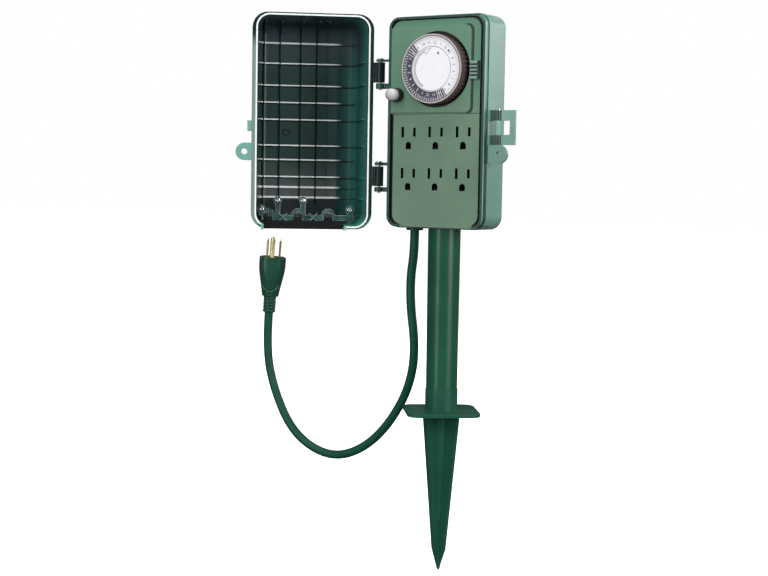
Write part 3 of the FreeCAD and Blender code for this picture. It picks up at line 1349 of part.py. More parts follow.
def plug():
    corners = [("0", "0"), ("boot_radius - boot_groove", "0")]
    for rib in range(int(mm("boot_ribs"))):
        low = f"boot_length * ({rib} + 0.3) / boot_ribs"
        high = f"boot_length * ({rib} + 0.7) / boot_ribs"
        corners += [("boot_radius - boot_groove", low), ("boot_radius", f"{low} + 0.3"),
                    ("boot_radius", f"{high} - 0.3"), ("boot_radius - boot_groove", high)]
    corners += [("boot_radius - boot_groove", "boot_length"), ("0", "boot_length")]
    node("plug_boot", hang_plug(turned("plug_boot", corners)))

    foot = "boot_length"
    top = "boot_length + plug_length"
    form = turned("plug_form", [
        ("0", foot), ("plug_foot", foot), ("plug_foot + 1", f"{foot} + 5"),
        ("plug_head - 0.9", f"{top} - 17"), ("plug_head", f"{top} - 9"), ("plug_head", f"{top} - 1"),
        ("plug_head - 1", top), ("0", top)])
    flat = block("plug_flat", ("-plug_head - 2", "plug_head + 2"), ("plug_front", "plug_rear"),
                 (f"{foot} - 1", f"{top} + 1"))
    holes = []
    blades = []
    for side, wide in ((-1, "plug_neutral_wide"), (1, "plug_line_wide")):
        middle = f"{side} * blade_offset"
        thick = "(plug_blade_thick / 2 + thread_gap)"
        reach = f"({wide} / 2 + thread_gap)"
        holes.append(block("plug_blade_root", (f"{middle} - {thick}", f"{middle} + {thick}"),
                           (f"blade_y - {reach}", f"blade_y + {reach}"),
                           (f"{top} - blade_root - thread_gap", f"{top} + 1")))
        blades.append(plug_blade(middle, wide, top))
    holes.append(rod("plug_pin_hole", "z", ("0", "pin_y"), "pin_root + thread_gap",
                     (f"{top} - blade_root - thread_gap", f"{top} + 1")))
    node("plug_body", hang_plug(cut("plug_body", overlap("plug_flattened", form, flat), *holes)))
    node("plug_blades", hang_plug(group("plug_blades", *blades)))
    root = rod("plug_pin_root", "z", ("0", "pin_y"), "pin_root", (f"{top} - blade_root", f"{top} + 1"))
    shank = rod("plug_pin_shank", "z", ("0", "pin_y"), "pin_radius",
                (top, f"{top} + pin_length - pin_radius"))
    tip = doc.addObject("Part::Sphere", "plug_pin_tip")
    bind(tip, Radius="pin_radius", Placement__Base__y="pin_y",
         Placement__Base__z=f"{top} + pin_length - pin_radius")
    node("plug_ground_pin", hang_plug(join("plug_ground_pin", root, shank, tip)))


def post_and_stake():
    column = turned("post_column", [
        ("0", "post_joint - spigot_down"), ("spigot_radius", "post_joint - spigot_down"),
        ("spigot_radius", "post_joint"), ("post_foot", "post_joint"), ("post_top", "case_low"),
        ("spigot_radius", "case_low"), ("spigot_radius", "case_low + spigot_up"),
        ("0", "case_low + spigot_up")])
    hollow = rod("post_hollow", "z", ("0", "0"), "post_bore", ("post_joint + 3", "case_low - 3"))
    pilot = rod("post_pilot", "y", ("0", "post_screw_z"), "screw_radius + thread_gap",
                ("post_screw_tip - 0.5", "spigot_radius + 2"))
    node("post", cut("post", column, hollow, pilot))

    near = "-flange_side / 2"
    far = "flange_side / 2"
    flange, pad = plate("stake_flange", [(near, near), (far, near), (far, far), (near, far)],
                        ("-flange_thick", "0"))
    round_edges(flange, pad, "flange_corner", runs_back)
    flat = Rotation(Vector(1, 0, 0), -90)
    turn = Rotation(Vector(0, 0, 1), mm("flange_turn"))
    flange.Placement = Placement(Vector(), turn.multiply(flat))
    collar = rod("stake_collar", "z", ("0", "0"), "spigot_radius + stake_wall",
                 ("flange_thick / 2", "post_joint"))
    bore = rod("stake_bore", "z", ("0", "0"), "spigot_radius + running_gap",
               ("post_joint - spigot_down - fit_gap", "post_joint + 1"))
    fins = []
    for quarter in (45, 135):
        fin, _ = plate("stake_fin", [("-spike_top / 2", "2"), ("-spike_top / 2", "-5"),
                                     ("-spike_low / 2", "-spike_taper"), ("0", "-spike_depth"),
                                     ("spike_low / 2", "-spike_taper"), ("spike_top / 2", "-5"),
                                     ("spike_top / 2", "2")], ("-spike_fin / 2", "spike_fin / 2"))
        fin.Placement = Placement(Vector(), Rotation(Vector(0, 0, 1), mm("flange_turn") + quarter))
        fins.append(fin)
    core = turned("stake_core", [("0", "1"), ("spike_core", "1"), ("spike_fin / 2", "-spike_taper"),
                                 ("0", "-spike_depth + 6")])
    whole = join("stake_upper", flange, collar, core)
    for fin in fins:
        whole = join("stake_ridge", whole, fin)
    node("ground_stake", cut("ground_stake", whole, bore))


for build in (rear_case, outlet_panel, timer_panel, fasteners, clockwork, trippers, gears, snap_switch,
              slide_switch, reset_breaker, contacts, hinge_and_latch, door, cord_gate, gland_and_cord,
              leads, plug, post_and_stake):
    build()
doc.recompute()

broken = [thing.Name for thing in doc.Objects if {"Invalid", "Error"} & set(thing.State)]
if broken:
    raise SystemExit("These objects failed: " + ", ".join(broken))
for thing in nodes:
    shape = thing.Shape
    if shape.isNull() or not shape.isValid() or not shape.Solids:
        raise SystemExit(f"{thing.Label} has no sound shape")
print(len(nodes), "nodes")
os.makedirs("parts", exist_ok=True)
for thing in nodes:
    thing.Shape.exportStep(f"parts/{thing.Label}.step")
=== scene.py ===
from math import cos, pi, radians, sin

import bmesh
import bpy
import numpy as np
from mathutils import Matrix, Vector


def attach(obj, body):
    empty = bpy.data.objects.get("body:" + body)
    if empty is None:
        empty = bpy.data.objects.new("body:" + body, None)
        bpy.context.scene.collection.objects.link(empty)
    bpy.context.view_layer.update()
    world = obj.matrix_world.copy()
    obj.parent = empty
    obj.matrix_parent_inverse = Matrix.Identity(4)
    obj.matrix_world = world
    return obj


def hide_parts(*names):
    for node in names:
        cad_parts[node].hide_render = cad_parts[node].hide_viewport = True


# The looks of an outdoor socket timer: finishes for its solids, and shapes that are finer than they are.
# Shapes are worked out in millimetres, in the solids' own frame, and put into meshes in metres.
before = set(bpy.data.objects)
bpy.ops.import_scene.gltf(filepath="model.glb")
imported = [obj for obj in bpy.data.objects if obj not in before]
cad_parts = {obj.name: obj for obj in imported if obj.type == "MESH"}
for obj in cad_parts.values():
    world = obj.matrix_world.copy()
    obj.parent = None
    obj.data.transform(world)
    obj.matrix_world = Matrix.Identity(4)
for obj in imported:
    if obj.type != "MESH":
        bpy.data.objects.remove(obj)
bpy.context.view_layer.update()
millimetre = 0.001

camera = {
    "place": (0.7038, -1.2144, 0.2178),
    "turn": (85.885, -0.938, 32.434),
    "lens": 70.31,
    "sensor": 36.0,
}


def makeCamera(look):
    eye = bpy.data.objects.new("camera", bpy.data.cameras.new("camera"))
    eye.data.lens = look["lens"]
    eye.data.sensor_width = look["sensor"]
    eye.location = look["place"]
    eye.rotation_euler = [radians(angle) for angle in look["turn"]]
    bpy.context.scene.collection.objects.link(eye)
    bpy.context.scene.camera = eye


makeCamera(camera)
print("camera placed")

cordLine = {
    "diameter": 8.5,
    "length": 447.3,
    "route": [(-32.5, 0, 171.1), (-32.5, 0, 150), (-36.2, 0, 127), (-35.6, 0, 98), (-31.8, 2, 66.7),
              (-35, 6, 37.8), (-47, 10, 8.0), (-67, 9, -22.5), (-88.5, 6, -43.1), (-115.6, 2.5, -55.3),
              (-144.6, 0.5, -51.9), (-174.2, 0, -33.2), (-195.5, 0, 4.5), (-206.12, 0, 45.01),
              (-203.2, 0, 82.9)],
    "roundness": 10,
    "steps": 20,
}


# The cord is one smooth spline from the gland, behind the flange's corner, up to the plug.
# Its thickness is the points' radius times a bevel of 1, so that its bound box is as thin as it is
def makeCord(look):
    curve = bpy.data.curves.new("flexCord", "CURVE")
    curve.dimensions = "3D"
    curve.bevel_depth = 1.0
    curve.bevel_resolution = look["roundness"]
    curve.resolution_u = look["steps"]
    spline = curve.splines.new("NURBS")
    spline.points.add(len(look["route"]) - 1)
    for point, (x, y, z) in zip(spline.points, look["route"]):
        point.co = (x * millimetre, y * millimetre, z * millimetre, 1)
        point.radius = look["diameter"] / 2 * millimetre
    spline.order_u = 3
    spline.use_endpoint_u = True
    cord = bpy.data.objects.new("flexCord", curve)
    bpy.context.scene.collection.objects.link(cord)
    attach(cord, "case")
    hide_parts("power_cord")
    return cord


flexCord = makeCord(cordLine)
print("cord drawn")


class Wire:
    # A value inside a material; every operator adds one Math node
    def __init__(self, paint, socket):
        self.paint = paint
        self.socket = socket

    def maths(self, operation, *others, first=None):
        values = [self, *others] if first is None else [first, self]
        return self.paint.add("ShaderNodeMath", {"operation": operation}, dict(enumerate(values)))

    def __add__(self, other):
        return self.maths("ADD", other)

    __radd__ = __add__

    def __sub__(self, other):
        return self.maths("SUBTRACT", other)

    def __rsub__(self, other):
        return self.maths("SUBTRACT", first=other)

    def __mul__(self, other):
        return self.maths("MULTIPLY", other)

    __rmul__ = __mul__

    def __truediv__(self, other):
        return self.maths("DIVIDE", other)

    def __rtruediv__(self, other):
        return self.maths("DIVIDE", first=other)

    def __pow__(self, other):
        return self.maths("POWER", other)

    def __abs__(self):
        return self.maths("ABSOLUTE")

    def __gt__(self, other):
        return self.maths("GREATER_THAN", other)

    def __lt__(self, other):
        return self.maths("LESS_THAN", other)


def tint(red, green, blue):
    # Screen values from 0 to 255, made linear
    channels = np.array([red, green, blue]) / 255
    linear = np.where(channels < 0.04045, channels / 12.92, ((channels + 0.055) / 1.055) ** 2.4)
    return (*linear.tolist(), 1.0)


# A corner shows from one lean of its softened normal and is full at the other
edgeLook = {"samples": 4, "leanFrom": 0.02, "leanTo": 0.25}
noiseMean = 0.5


class Paint:
    def __init__(self, name):
        self.material = bpy.data.materials.new(name)
        self.material.use_nodes = True
        self.tree = self.material.node_tree
        self.shader = self.tree.nodes["Principled BSDF"]
        self.at = None

    # Any node: its settings first, then the values or links of its sockets
    def add(self, kind, settings=None, sockets=None, output=0):
        made = self.tree.nodes.new(kind)
        for name, value in (settings or {}).items():
            if name == "between":
                made.color_ramp.interpolation = value
            elif name == "stops":
                ramp = made.color_ramp
                for place, (position, colour) in enumerate(value):
                    stop = ramp.elements[place] if place < 2 else ramp.elements.new(position)
                    stop.position = position
                    stop.color = colour
            else:
                setattr(made, name, value)
        for name, value in (sockets or {}).items():
            self.join(value, made.inputs[name])
        return Wire(self, made.outputs[output])

    def join(self, value, socket):
        if isinstance(value, Wire):
            self.tree.links.new(value.socket, socket)
        else:
            socket.default_value = value

    def set(self, **sockets):
        for name, value in sockets.items():
            self.join(value, self.shader.inputs[name.replace("_", " ")])

    # Where a point of the piece is, in millimetres
    def place(self):
        if self.at is None:
            here = self.add("ShaderNodeTexCoord", output="Object")
            sockets = {0: here, "Scale": 1 / millimetre}
            self.at = self.add("ShaderNodeVectorMath", {"operation": "SCALE"}, sockets)
        return self.at

    def axis(self, letter):
        return self.add("ShaderNodeSeparateXYZ", None, {0: self.place()}, output=letter)

    # Cloudy noise whose lumps are about so many millimetres across
    def noise(self, size, detail, stretch=(1, 1, 1), distortion=0.0):
        spread = self.add("ShaderNodeVectorMath", {"operation": "MULTIPLY"}, {0: self.place(), 1: stretch})
        return self.add("ShaderNodeTexNoise", None,
                        {"Vector": spread, "Scale": 1 / size, "Detail": detail, "Distortion": distortion})

    # Two colours mixed by a share; 6, 7 and 2 are the Mix node's places for colours
    def blend(self, share, low, high):
        return self.add("ShaderNodeMix", {"data_type": "RGBA"}, {0: share, 6: low, 7: high}, output=2)

    # How far a vector reaches along an axis
    def dot(self, vector, axis):
        return self.add("ShaderNodeVectorMath", {"operation": "DOT_PRODUCT"}, {0: vector, 1: axis}, output=1)

    # 0 under the low value, 1 over the high one, and even between
    def ramp(self, value, low, high):
        return self.add("ShaderNodeMapRange", None, {0: value, 1: low, 2: high})

    # 1 between two values, with a short fade at each side
    def band(self, value, low, high, fade=0.12):
        return self.ramp(value, low - fade, low + fade) * self.ramp(value, high + fade, high - fade)

    # 1 on each rib of a row, 0 between them
    def onRibs(self, value, places, wide):
        spare = 10.0
        low = min(places) - spare
        reach = max(places) + spare - low
        stops = [(0.0, (0, 0, 0, 1))]
        for place in sorted(places):
            stops.append(((place - wide / 2 - low) / reach, (1, 1, 1, 1)))
            stops.append(((place + wide / 2 - low) / reach, (0, 0, 0, 1)))
        return self.add("ShaderNodeValToRGB", {"between": "CONSTANT", "stops": stops},
                        {"Fac": (value - low) / reach})

    # Softened corners, and where they are: the turned normal's lean from the flat one
    def softEdges(self, radius):
        soft = self.add("ShaderNodeBevel", {"samples": edgeLook["samples"]}, {"Radius": radius * millimetre})
        lean = self.dot(soft, self.add("ShaderNodeNewGeometry", output="Normal"))
        return soft, self.ramp(1 - lean, edgeLook["leanFrom"], edgeLook["leanTo"])

    def bump(self, height, depth, normal=None):
        sockets = {"Height": height, "Distance": depth * millimetre, "Strength": 1.0}
        if normal is not None:
            sockets["Normal"] = normal
        self.set(Normal=self.add("ShaderNodeBump", None, sockets))


plastic = {"cloud": 38.0, "cloudFrom": 0.36, "cloudTo": 0.64, "cloudRough": 0.1, "flow": 9.0,
           "flowStretch": (1, 1, 0.12), "flowTwist": 0.6, "flowHigh": 0.35, "grain": 0.22, "grainHigh": 0.5,
           "grainRough": 0.12, "edge": 0.5, "wear": 0.45, "shine": 0.5, "relief": 0.025}


# Moulded plastic: a cloudy tone, a fine spark-eroded grain, faint flow marks, and corners painted paler, both
# as rubbing and as a painted highlight along the edges
def moulded(name, look, byPlace=None):
    paint = Paint(name)
    look = {**plastic, **look}
    cloud = paint.noise(look["cloud"], 4.0)
    flow = paint.noise(look["flow"], 2.0, look["flowStretch"], look["flowTwist"])
    grain = paint.noise(look["grain"], 2.0)
    soft, corner = paint.softEdges(look["edge"])
    tone = paint.blend(paint.ramp(cloud, look["cloudFrom"], look["cloudTo"]), look["colour"], look["deep"])
    if byPlace:
        tone = byPlace(paint, tone, look)
    # Corners take the pale tone: rubbing, and a painted highlight on the edges
    wornAndLitEdges = paint.blend(corner * look["wear"], tone, look["pale"])
    uneven = look["cloudRough"] * (cloud - noiseMean) + look["grainRough"] * (grain - noiseMean)
    paint.set(Base_Color=wornAndLitEdges, Roughness=uneven + look["rough"], Specular_IOR_Level=look["shine"])
    paint.bump(grain * look["grainHigh"] + flow * look["flowHigh"], look["relief"], soft)
    return paint.material


rubbery = {"cloud": 14.0, "cloudFrom": 0.35, "cloudTo": 0.68, "cloudRough": 0.14, "grain": 0.3,
           "grainHigh": 0.4, "drawn": 1.1, "drawnStretch": (1, 1, 0.06), "drawnHigh": 0.6, "shine": 0.45,
           "relief": 0.03}


# The tone of a rubbery jacket with dust in it, and how rough the dust leaves it
def dustyRubber(paint, look):
    dust = paint.noise(look["cloud"], 5.0)
    tone = paint.blend(paint.ramp(dust, look["cloudFrom"], look["cloudTo"]), look["colour"], look["deep"])
    return tone, look["rough"] + look["cloudRough"] * (dust - noiseMean)


# Rubbery jacket: dull, with a faint lengthways drawing mark and dust in it
def rubber(name, look):
    paint = Paint(name)
    look = {**rubbery, **look}
    tone, rough = dustyRubber(paint, look)
    grain = paint.noise(look["grain"], 2.0)
    drawn = paint.noise(look["drawn"], 1.0, look["drawnStretch"])
    paint.set(Base_Color=tone, Roughness=rough, Specular_IOR_Level=look["shine"])
    paint.bump(grain * look["grainHigh"] + drawn * look["drawnHigh"], look["relief"])
    return paint.material


bareMetal = {"stain": 3.0, "stainFrom": 0.4, "stainTo": 0.7, "stainRough": 0.2, "stainMean": 0.4,
             "line": 0.16, "lineStretch": (1, 1, 0.1), "lineRough": 0.1, "relief": 0.01}


# Sheet or turned metal: fine lines of the tool, stains that dull it
def metal(name, look):
    paint = Paint(name)
    look = {**bareMetal, **look}
    stain = paint.noise(look["stain"], 5.0)
    line = paint.noise(look["line"], 1.0, look["lineStretch"])
    tone = paint.blend(paint.ramp(stain, look["stainFrom"], look["stainTo"]), look["colour"], look["deep"])
    uneven = look["stainRough"] * (stain - look["stainMean"]) + look["lineRough"] * (line - noiseMean)
    paint.set(Base_Color=tone, Metallic=1.0, Roughness=uneven + look["rough"])
    paint.bump(line, look["relief"])
    return paint.material


dial = {
    "x": 1.0,
    "z": 319.7,
    "front": -31.1,
    "hours": 24,
    "ticks": 96,
    "nightFrom": 146.0,
    "nightTo": 320.0,
    "comb": 72,
    "tooth": 0.74,
    "combEnds": 22.0,
    "combEndShare": 0.8,
    "combRim": 1.2,
    "combRimShare": 0.6,
    "bandInner": 20.9,
    "bandOuter": 28.4,
    "printedOuter": 29.3,
    "discLine": 20.3,
    "discLineWide": 0.16,
    "discLineShare": 0.7,
    "tickInner": 26.4,
    "tickWide": 0.22,
    "tickShare": 0.6,
    "hourInner": 25.4,
    "hourWide": 0.2,
    "dotRadius": 23.7,
    "dotAngle": 48.0,
    "dotSize": 0.95,
    "dust": 6.0,
    "rough": 0.36,
    "dustRough": 0.14,
    "coat": 0.25,
    "relief": 0.01,
    "paper": tint(247, 246, 250),
    "dusty": tint(228, 228, 236),
    "ink": tint(58, 60, 74),
    "tickOnPaper": tint(120, 120, 134),
    "tickOnInk": tint(214, 214, 222),
    "lineInk": tint(120, 122, 136),
    "dotInk": tint(14, 14, 18),
}


# Radius and clock angle of a point about the dial's centre
def dialPlace(paint, look):
    across = paint.axis("X") - look["x"]
    up = paint.axis("Z") - look["z"]
    angle = across.maths("ARCTAN2", up) * (180 / pi)
    return across, up, (across * across + up * up) ** 0.5, angle.maths("WRAP", 360.0, 0.0)


# 1 on the teeth of the night band's comb, and 1 in the night
def nightComb(clock, look):
    toothed = (clock * (look["comb"] / 360)).maths("FRACT") < look["tooth"]
    return toothed, (clock > look["nightFrom"]) * (clock < look["nightTo"])


# Printed hour label, from the radius and the clock angle about the dial's centre: a dark night band, combed
# at its rim and its ends, short quarter ticks, a little longer hour ticks, a fine circle and one round dot
def hourLabel(look):
    paint = Paint("hourLabel")
    across, up, radius, clock = dialPlace(paint, look)
    toothed, night = nightComb(clock, look)
    band = (radius > look["bandInner"]) * (radius < look["bandOuter"])
    # Arc from the nearest quarter and from the nearest hour
    quarter = clock * (look["ticks"] / 360) + 0.5
    hour = clock * (look["hours"] / 360) + 0.5
    nearQuarter = abs(quarter.maths("FRACT") - 0.5) * radius * (2 * pi / look["ticks"])
    nearHour = abs(hour.maths("FRACT") - 0.5) * radius * (2 * pi / look["hours"])
    quarterTick = (nearQuarter < look["tickWide"]) * (radius > look["tickInner"])
    hourTick = (nearHour < look["hourWide"]) * (radius > look["hourInner"])
    tick = quarterTick.maths("MAXIMUM", hourTick) * band
    dotX = look["dotRadius"] * sin(radians(look["dotAngle"]))
    dotZ = look["dotRadius"] * cos(radians(look["dotAngle"]))
    away = ((across - dotX) ** 2.0 + (up - dotZ) ** 2.0) ** 0.5
    dust = paint.noise(look["dust"], 4.0)
    paper = paint.blend(dust, look["paper"], look["dusty"])
    atRim = radius > look["bandOuter"] - look["combRim"]
    nearEnd = (clock < look["nightFrom"] + look["combEnds"]) + (clock > look["nightTo"] - look["combEnds"])
    combed = nearEnd * look["combEndShare"] + atRim * look["combRimShare"]
    gaps = (1 - toothed) * combed.maths("MINIMUM", 1.0)
    dark = night * band * (1 - gaps)
    inked = paint.blend(dark, paper, look["ink"])
    tickTone = paint.blend(dark, look["tickOnPaper"], look["tickOnInk"])
    ticked = paint.blend(tick * look["tickShare"], inked, tickTone)
    onLine = abs(radius - look["discLine"]) < look["discLineWide"]
    lined = paint.blend(onLine * look["discLineShare"], ticked, look["lineInk"])
    paint.set(Base_Color=paint.blend(away < look["dotSize"], lined, look["dotInk"]),
              Roughness=look["rough"] + look["dustRough"] * dust, Coat_Weight=look["coat"])
    paint.bump(dust, look["relief"])
    return paint.material


disc = {"paper": tint(250, 249, 252), "dusty": tint(234, 233, 240), "dust": 7.0, "rough": 0.32,
        "dustRough": 0.12, "coat": 0.3, "relief": 0.012}


# The plain middle disc: off-white plastic with a little dust
def centreDisc(look):
    paint = Paint("centreDisc")
    dust = paint.noise(look["dust"], 4.0)
    paint.set(Base_Color=paint.blend(dust, look["paper"], look["dusty"]),
              Roughness=look["rough"] + look["dustRough"] * dust, Coat_Weight=look["coat"])
    paint.bump(dust, look["relief"])
    return paint.material


# Lines of painted highlight and painted shadow beside the raised U, in millimetres inside its edge, so that
# what lies outside it is below 0
plugMarks = {"flat": (5.0, 6.5), "below": 1.5, "pale": (-1.9, -1.0), "paintedLightShare": 0.8, "line": (-0.75, 0.0),
             "lineShare": 0.85, "fade": 0.2, "relief": 0.02}


# The plug's own axes as it stands: turned about its length, then leaned
def plugAxes(pose):
    return Matrix.Rotation(radians(pose["lean"]), 3, "Y") @ Matrix.Rotation(radians(pose["turn"]), 3, "Z")


# The plug's rubber: a dark line round the raised U on its flats as painted shadow, with a paler one outside
# it as painted highlight
def plugRubber(name, look, marks, form, pose):
    paint = Paint(name)
    look = {**rubbery, **look}
    plain, rough = dustyRubber(paint, look)
    grain = paint.noise(look["grain"], 2.0)
    foot = (pose["x"], 0, pose["z"])
    there = paint.add("ShaderNodeVectorMath", {"operation": "SUBTRACT"}, {0: paint.place(), 1: foot})
    across, back, height = (paint.dot(there, axis) for axis in plugAxes(pose).col)
    swell = paint.add("ShaderNodeMapRange", {"interpolation_type": "SMOOTHSTEP"},
                      {0: height, 1: form["low"] - form["swellUnder"], 2: form["high"] - form["swellShort"]})
    wide = form["foot"] + (form["head"] - form["foot"]) * swell
    bend = paint.ramp(height, form["panelBend"], form["panelLow"])
    gap = form["panelWide"] * wide * (1 - bend * bend) ** 0.5 - abs(across)
    onFlat = paint.ramp(abs(back), *marks["flat"]) * (height > form["panelLow"] - marks["below"])
    highlightBesideU = paint.band(gap, *marks["pale"], marks["fade"]) * onFlat * marks["paintedLightShare"]
    shadowRoundU = paint.band(gap, *marks["line"], marks["fade"]) * onFlat * marks["lineShare"]
    tone = paint.blend(shadowRoundU, paint.blend(highlightBesideU, plain, look["pale"]), look["line"])
    paint.set(Base_Color=tone, Roughness=rough, Specular_IOR_Level=look["shine"])
    paint.bump(grain, marks["relief"])
    return paint.material


# Where the cover is hinged, and how many degrees it stands open
hinge = {"x": -63.5, "y": -16.0, "open": 140.0}

# The cover's finish; its places are those of the shut cover
doorLook = {
    "rimPlane": -16.2,
    "rimDeep": 3.2,
    "rimFade": 0.3,
    "inside": tint(38, 66, 61),
    "insideDeep": tint(31, 57, 54),
    # Painted tones: the high and low ones are painted light, the one behind the gate painted shade
    "high": tint(58, 72, 80),
    "low": tint(84, 90, 91),
    "behindGate": tint(14, 28, 28),
    "litAndShadedZones": {"high": (318.0, 350.0, 0.85), "low": (238.0, 204.0, 0.85), "behindGate": (199.5, 196.5, 0.8)},
    # The hinge side's teal is painted light; its deeper tones are painted shade
    "teal": tint(56, 128, 116),
    "tealShadedDeep": tint(34, 86, 81),
    "tealShadedBack": tint(14, 46, 47),
    "tealEdge": (-28.6, -31.0),
    "tealAcross": (-30.0, -46.0),
    "tealDepth": (6.0, 46.0),
    "slateHeight": (318.0, 346.0),
    "slateDepth": (20.0, 50.0),
    "slateShare": 0.8,
    "outside": tint(84, 120, 103),
    "backLean": 0.4,
    "sideFrom": 47.0,
    "sideLean": 8.0,
    "topFrom": 365.0,
    "footFrom": 178.5,
    "endLean": 0.3,
    # The rim's dark tone is painted shade; its foot and pale tones are painted light
    "rim": tint(10, 32, 30),
    "rimFootLit": tint(104, 166, 150),
    "rimFootHeight": (186.0, 176.0),
    "rimPaleLit": tint(128, 152, 146),
    "paleFrom": 54.0,
    "paleHeight": (352.0, 340.0),
    "paintedLightShare": 0.8,
    "ear": tint(104, 156, 146),
    "earFrom": 57.2,
    # Painted highlight and painted shade for the ribs
    "ribHighlight": tint(244, 250, 249),
    "ribShade": tint(3, 10, 10),
    "ribsAcross": (348.9, 329.5, 308.2, 291.7, 275.1, 249.8, 236.1, 219.4, 209.2, 199.3),
    "ribStart": (-34.0, -26.0),
    "ribWide": 1.5,
    "ribShare": 0.75,
    "shadeBelow": 1.3,
    "shadeWide": 1.1,
    "shadeFrom": -46.0,
    "shadeShare": 0.8,
    "ribsUpright": (42.7, 27.0, 6.8, -8.9),
    "uprightFoot": 193.0,
    "uprightShare": 0.95,
    "frontLean": (0.25, 0.5),
    "ribDepth": 30.0,
    "dullAcross": (42.5, 48.5),
    "dullFade": 0.5,
    "dullDepth": 20.0,
    "dull": 0.5,
    "cloud": 42.0,
    "grain": 0.24,
    "grainRough": 0.1,
    "grainHigh": 0.4,
    "flowHigh": 0.4,
    "edge": 0.7,
    "wear": 0.4,
    "rough": 0.3,
    "shine": 0.3,
    "relief": 0.018,
}


# Where a point of the open cover lies when the cover is shut: across, and how deep behind the rim
def shutPlace(paint, look):
    across = paint.axis("X") - hinge["x"]
    back = paint.axis("Y") - hinge["y"]
    turn = radians(hinge["open"])
    shutX = across * cos(turn) - back * sin(turn) + hinge["x"]
    depth = look["rimPlane"] - hinge["y"] - (across * sin(turn) + back * cos(turn))
    return shutX, depth


# 1 on the cover's outer faces: its back, and each wall where it looks away from the hollow
def outerFaces(shutX, height, facing, sideways, upward, look):
    onSide = (abs(shutX) > look["sideFrom"]) * (sideways * shutX > look["sideLean"])
    onTop = (height > look["topFrom"]) * (upward > look["endLean"])
    onFoot = (height < look["footFrom"]) * (upward < -look["endLean"])
    outer = (facing < -look["backLean"]) + onSide + onTop + onFoot
    return outer.maths("MINIMUM", 1.0)


# The cover's glossy plastic: teal painted light on the hinge's side, slate and grey painted light by height,
# painted highlights on the ribs across with painted shadow under them, painted shade on the upright ones, a
# rim in dark painted shade that is painted paler on the far side and at its foot, a pale ear and a plain
# green outside
def coverPlastic(look):
    paint = Paint("coverPlastic")
    look = {**plastic, **look}
    shutX, depth = shutPlace(paint, look)
    height = paint.axis("Z")
    turn = radians(hinge["open"])
    # How far a face looks out of the mouth, sideways and up, in the cover's own frame
    flat = paint.add("ShaderNodeTexCoord", output="Normal")
    facing, sideways, upward = (paint.dot(flat, axis) for axis in ((sin(turn), cos(turn), 0),
                                                                   (cos(turn), -sin(turn), 0), (0, 0, 1)))
    cloud = paint.noise(look["cloud"], 4.0)
    flow = paint.noise(look["flow"], 2.0, look["flowStretch"], look["flowTwist"])
    grain = paint.noise(look["grain"], 2.0)
    soft, corner = paint.softEdges(look["edge"])
    clouded = paint.ramp(cloud, look["cloudFrom"], look["cloudTo"])
    tone = paint.blend(clouded, look["inside"], look["insideDeep"])
    # Painted light and shade by height: slate high up, grey lower down, and dark painted shade behind the
    # gate
    for zone, (start, end, share) in look["litAndShadedZones"].items():
        tone = paint.blend(paint.ramp(height, start, end) * share, tone, look[zone])
    # The hinge's side is painted teal as painted light, darker to the back as painted shade, but not at the
    # top of the back
    shadedTeal = paint.blend(paint.ramp(shutX, *look["tealAcross"]), look["tealShadedBack"], look["tealShadedDeep"])
    teal = paint.blend(paint.ramp(depth, *look["tealDepth"]), look["teal"], shadedTeal)
    slate = paint.ramp(height, *look["slateHeight"]) * paint.ramp(depth, *look["slateDepth"])
    tone = paint.blend(paint.ramp(shutX, *look["tealEdge"]) * (1 - slate * look["slateShare"]), tone, teal)
    tone = paint.blend(outerFaces(shutX, height, facing, sideways, upward, look), tone, look["outside"])
    # The rim: dark as painted shade, painted paler as painted light at its foot and on the far side
    atRim = paint.ramp(depth, look["rimDeep"], look["rimDeep"] - look["rimFade"])
    rim = paint.blend(paint.ramp(height, *look["rimFootHeight"]), look["rim"], look["rimFootLit"])
    litFarSide = (shutX > look["paleFrom"]) * paint.ramp(height, *look["paleHeight"]) * look["paintedLightShare"]
    rim = paint.blend(litFarSide, rim, look["rimPaleLit"])
    tone = paint.blend(atRim, tone, paint.blend(shutX > look["earFrom"], rim, look["ear"]))
    # The ribs on the back: a painted highlight on the front of each one across, a painted shadow under it,
    # and painted shade on the upright ones
    inFront = paint.ramp(facing, *look["frontLean"]) * (1 - atRim) * (depth > look["ribDepth"])
    shades = [place - look["shadeBelow"] for place in look["ribsAcross"]]
    shade = paint.onRibs(height, shades, look["shadeWide"]) * (shutX > look["shadeFrom"])
    across = paint.onRibs(height, look["ribsAcross"], look["ribWide"]) * paint.ramp(shutX, *look["ribStart"])
    upright = paint.onRibs(shutX, look["ribsUpright"], look["ribWide"]) * (height > look["uprightFoot"])
    tone = paint.blend(inFront * shade * look["shadeShare"], tone, look["ribShade"])
    lit = look["ribShare"] + (1 - look["ribShare"]) * cloud
    tone = paint.blend(inFront * across * lit, tone, look["ribHighlight"])
    tone = paint.blend(inFront * upright * look["uprightShare"], tone, look["ribShade"])
    # The rim's corners are painted white: rubbing, and a painted highlight
    wornAndLitEdges = paint.blend(corner * atRim * look["wear"], tone, look["ribHighlight"])
    dull = paint.band(abs(shutX), *look["dullAcross"], look["dullFade"]) * (depth > look["dullDepth"])
    uneven = look["cloudRough"] * (cloud - noiseMean) + look["grainRough"] * (grain - noiseMean)
    paint.set(Base_Color=wornAndLitEdges, Roughness=dull * look["dull"] + uneven + look["rough"],
              Specular_IOR_Level=look["shine"])
    paint.bump(grain * look["grainHigh"] + flow * look["flowHigh"], look["relief"], soft)
    return paint.material


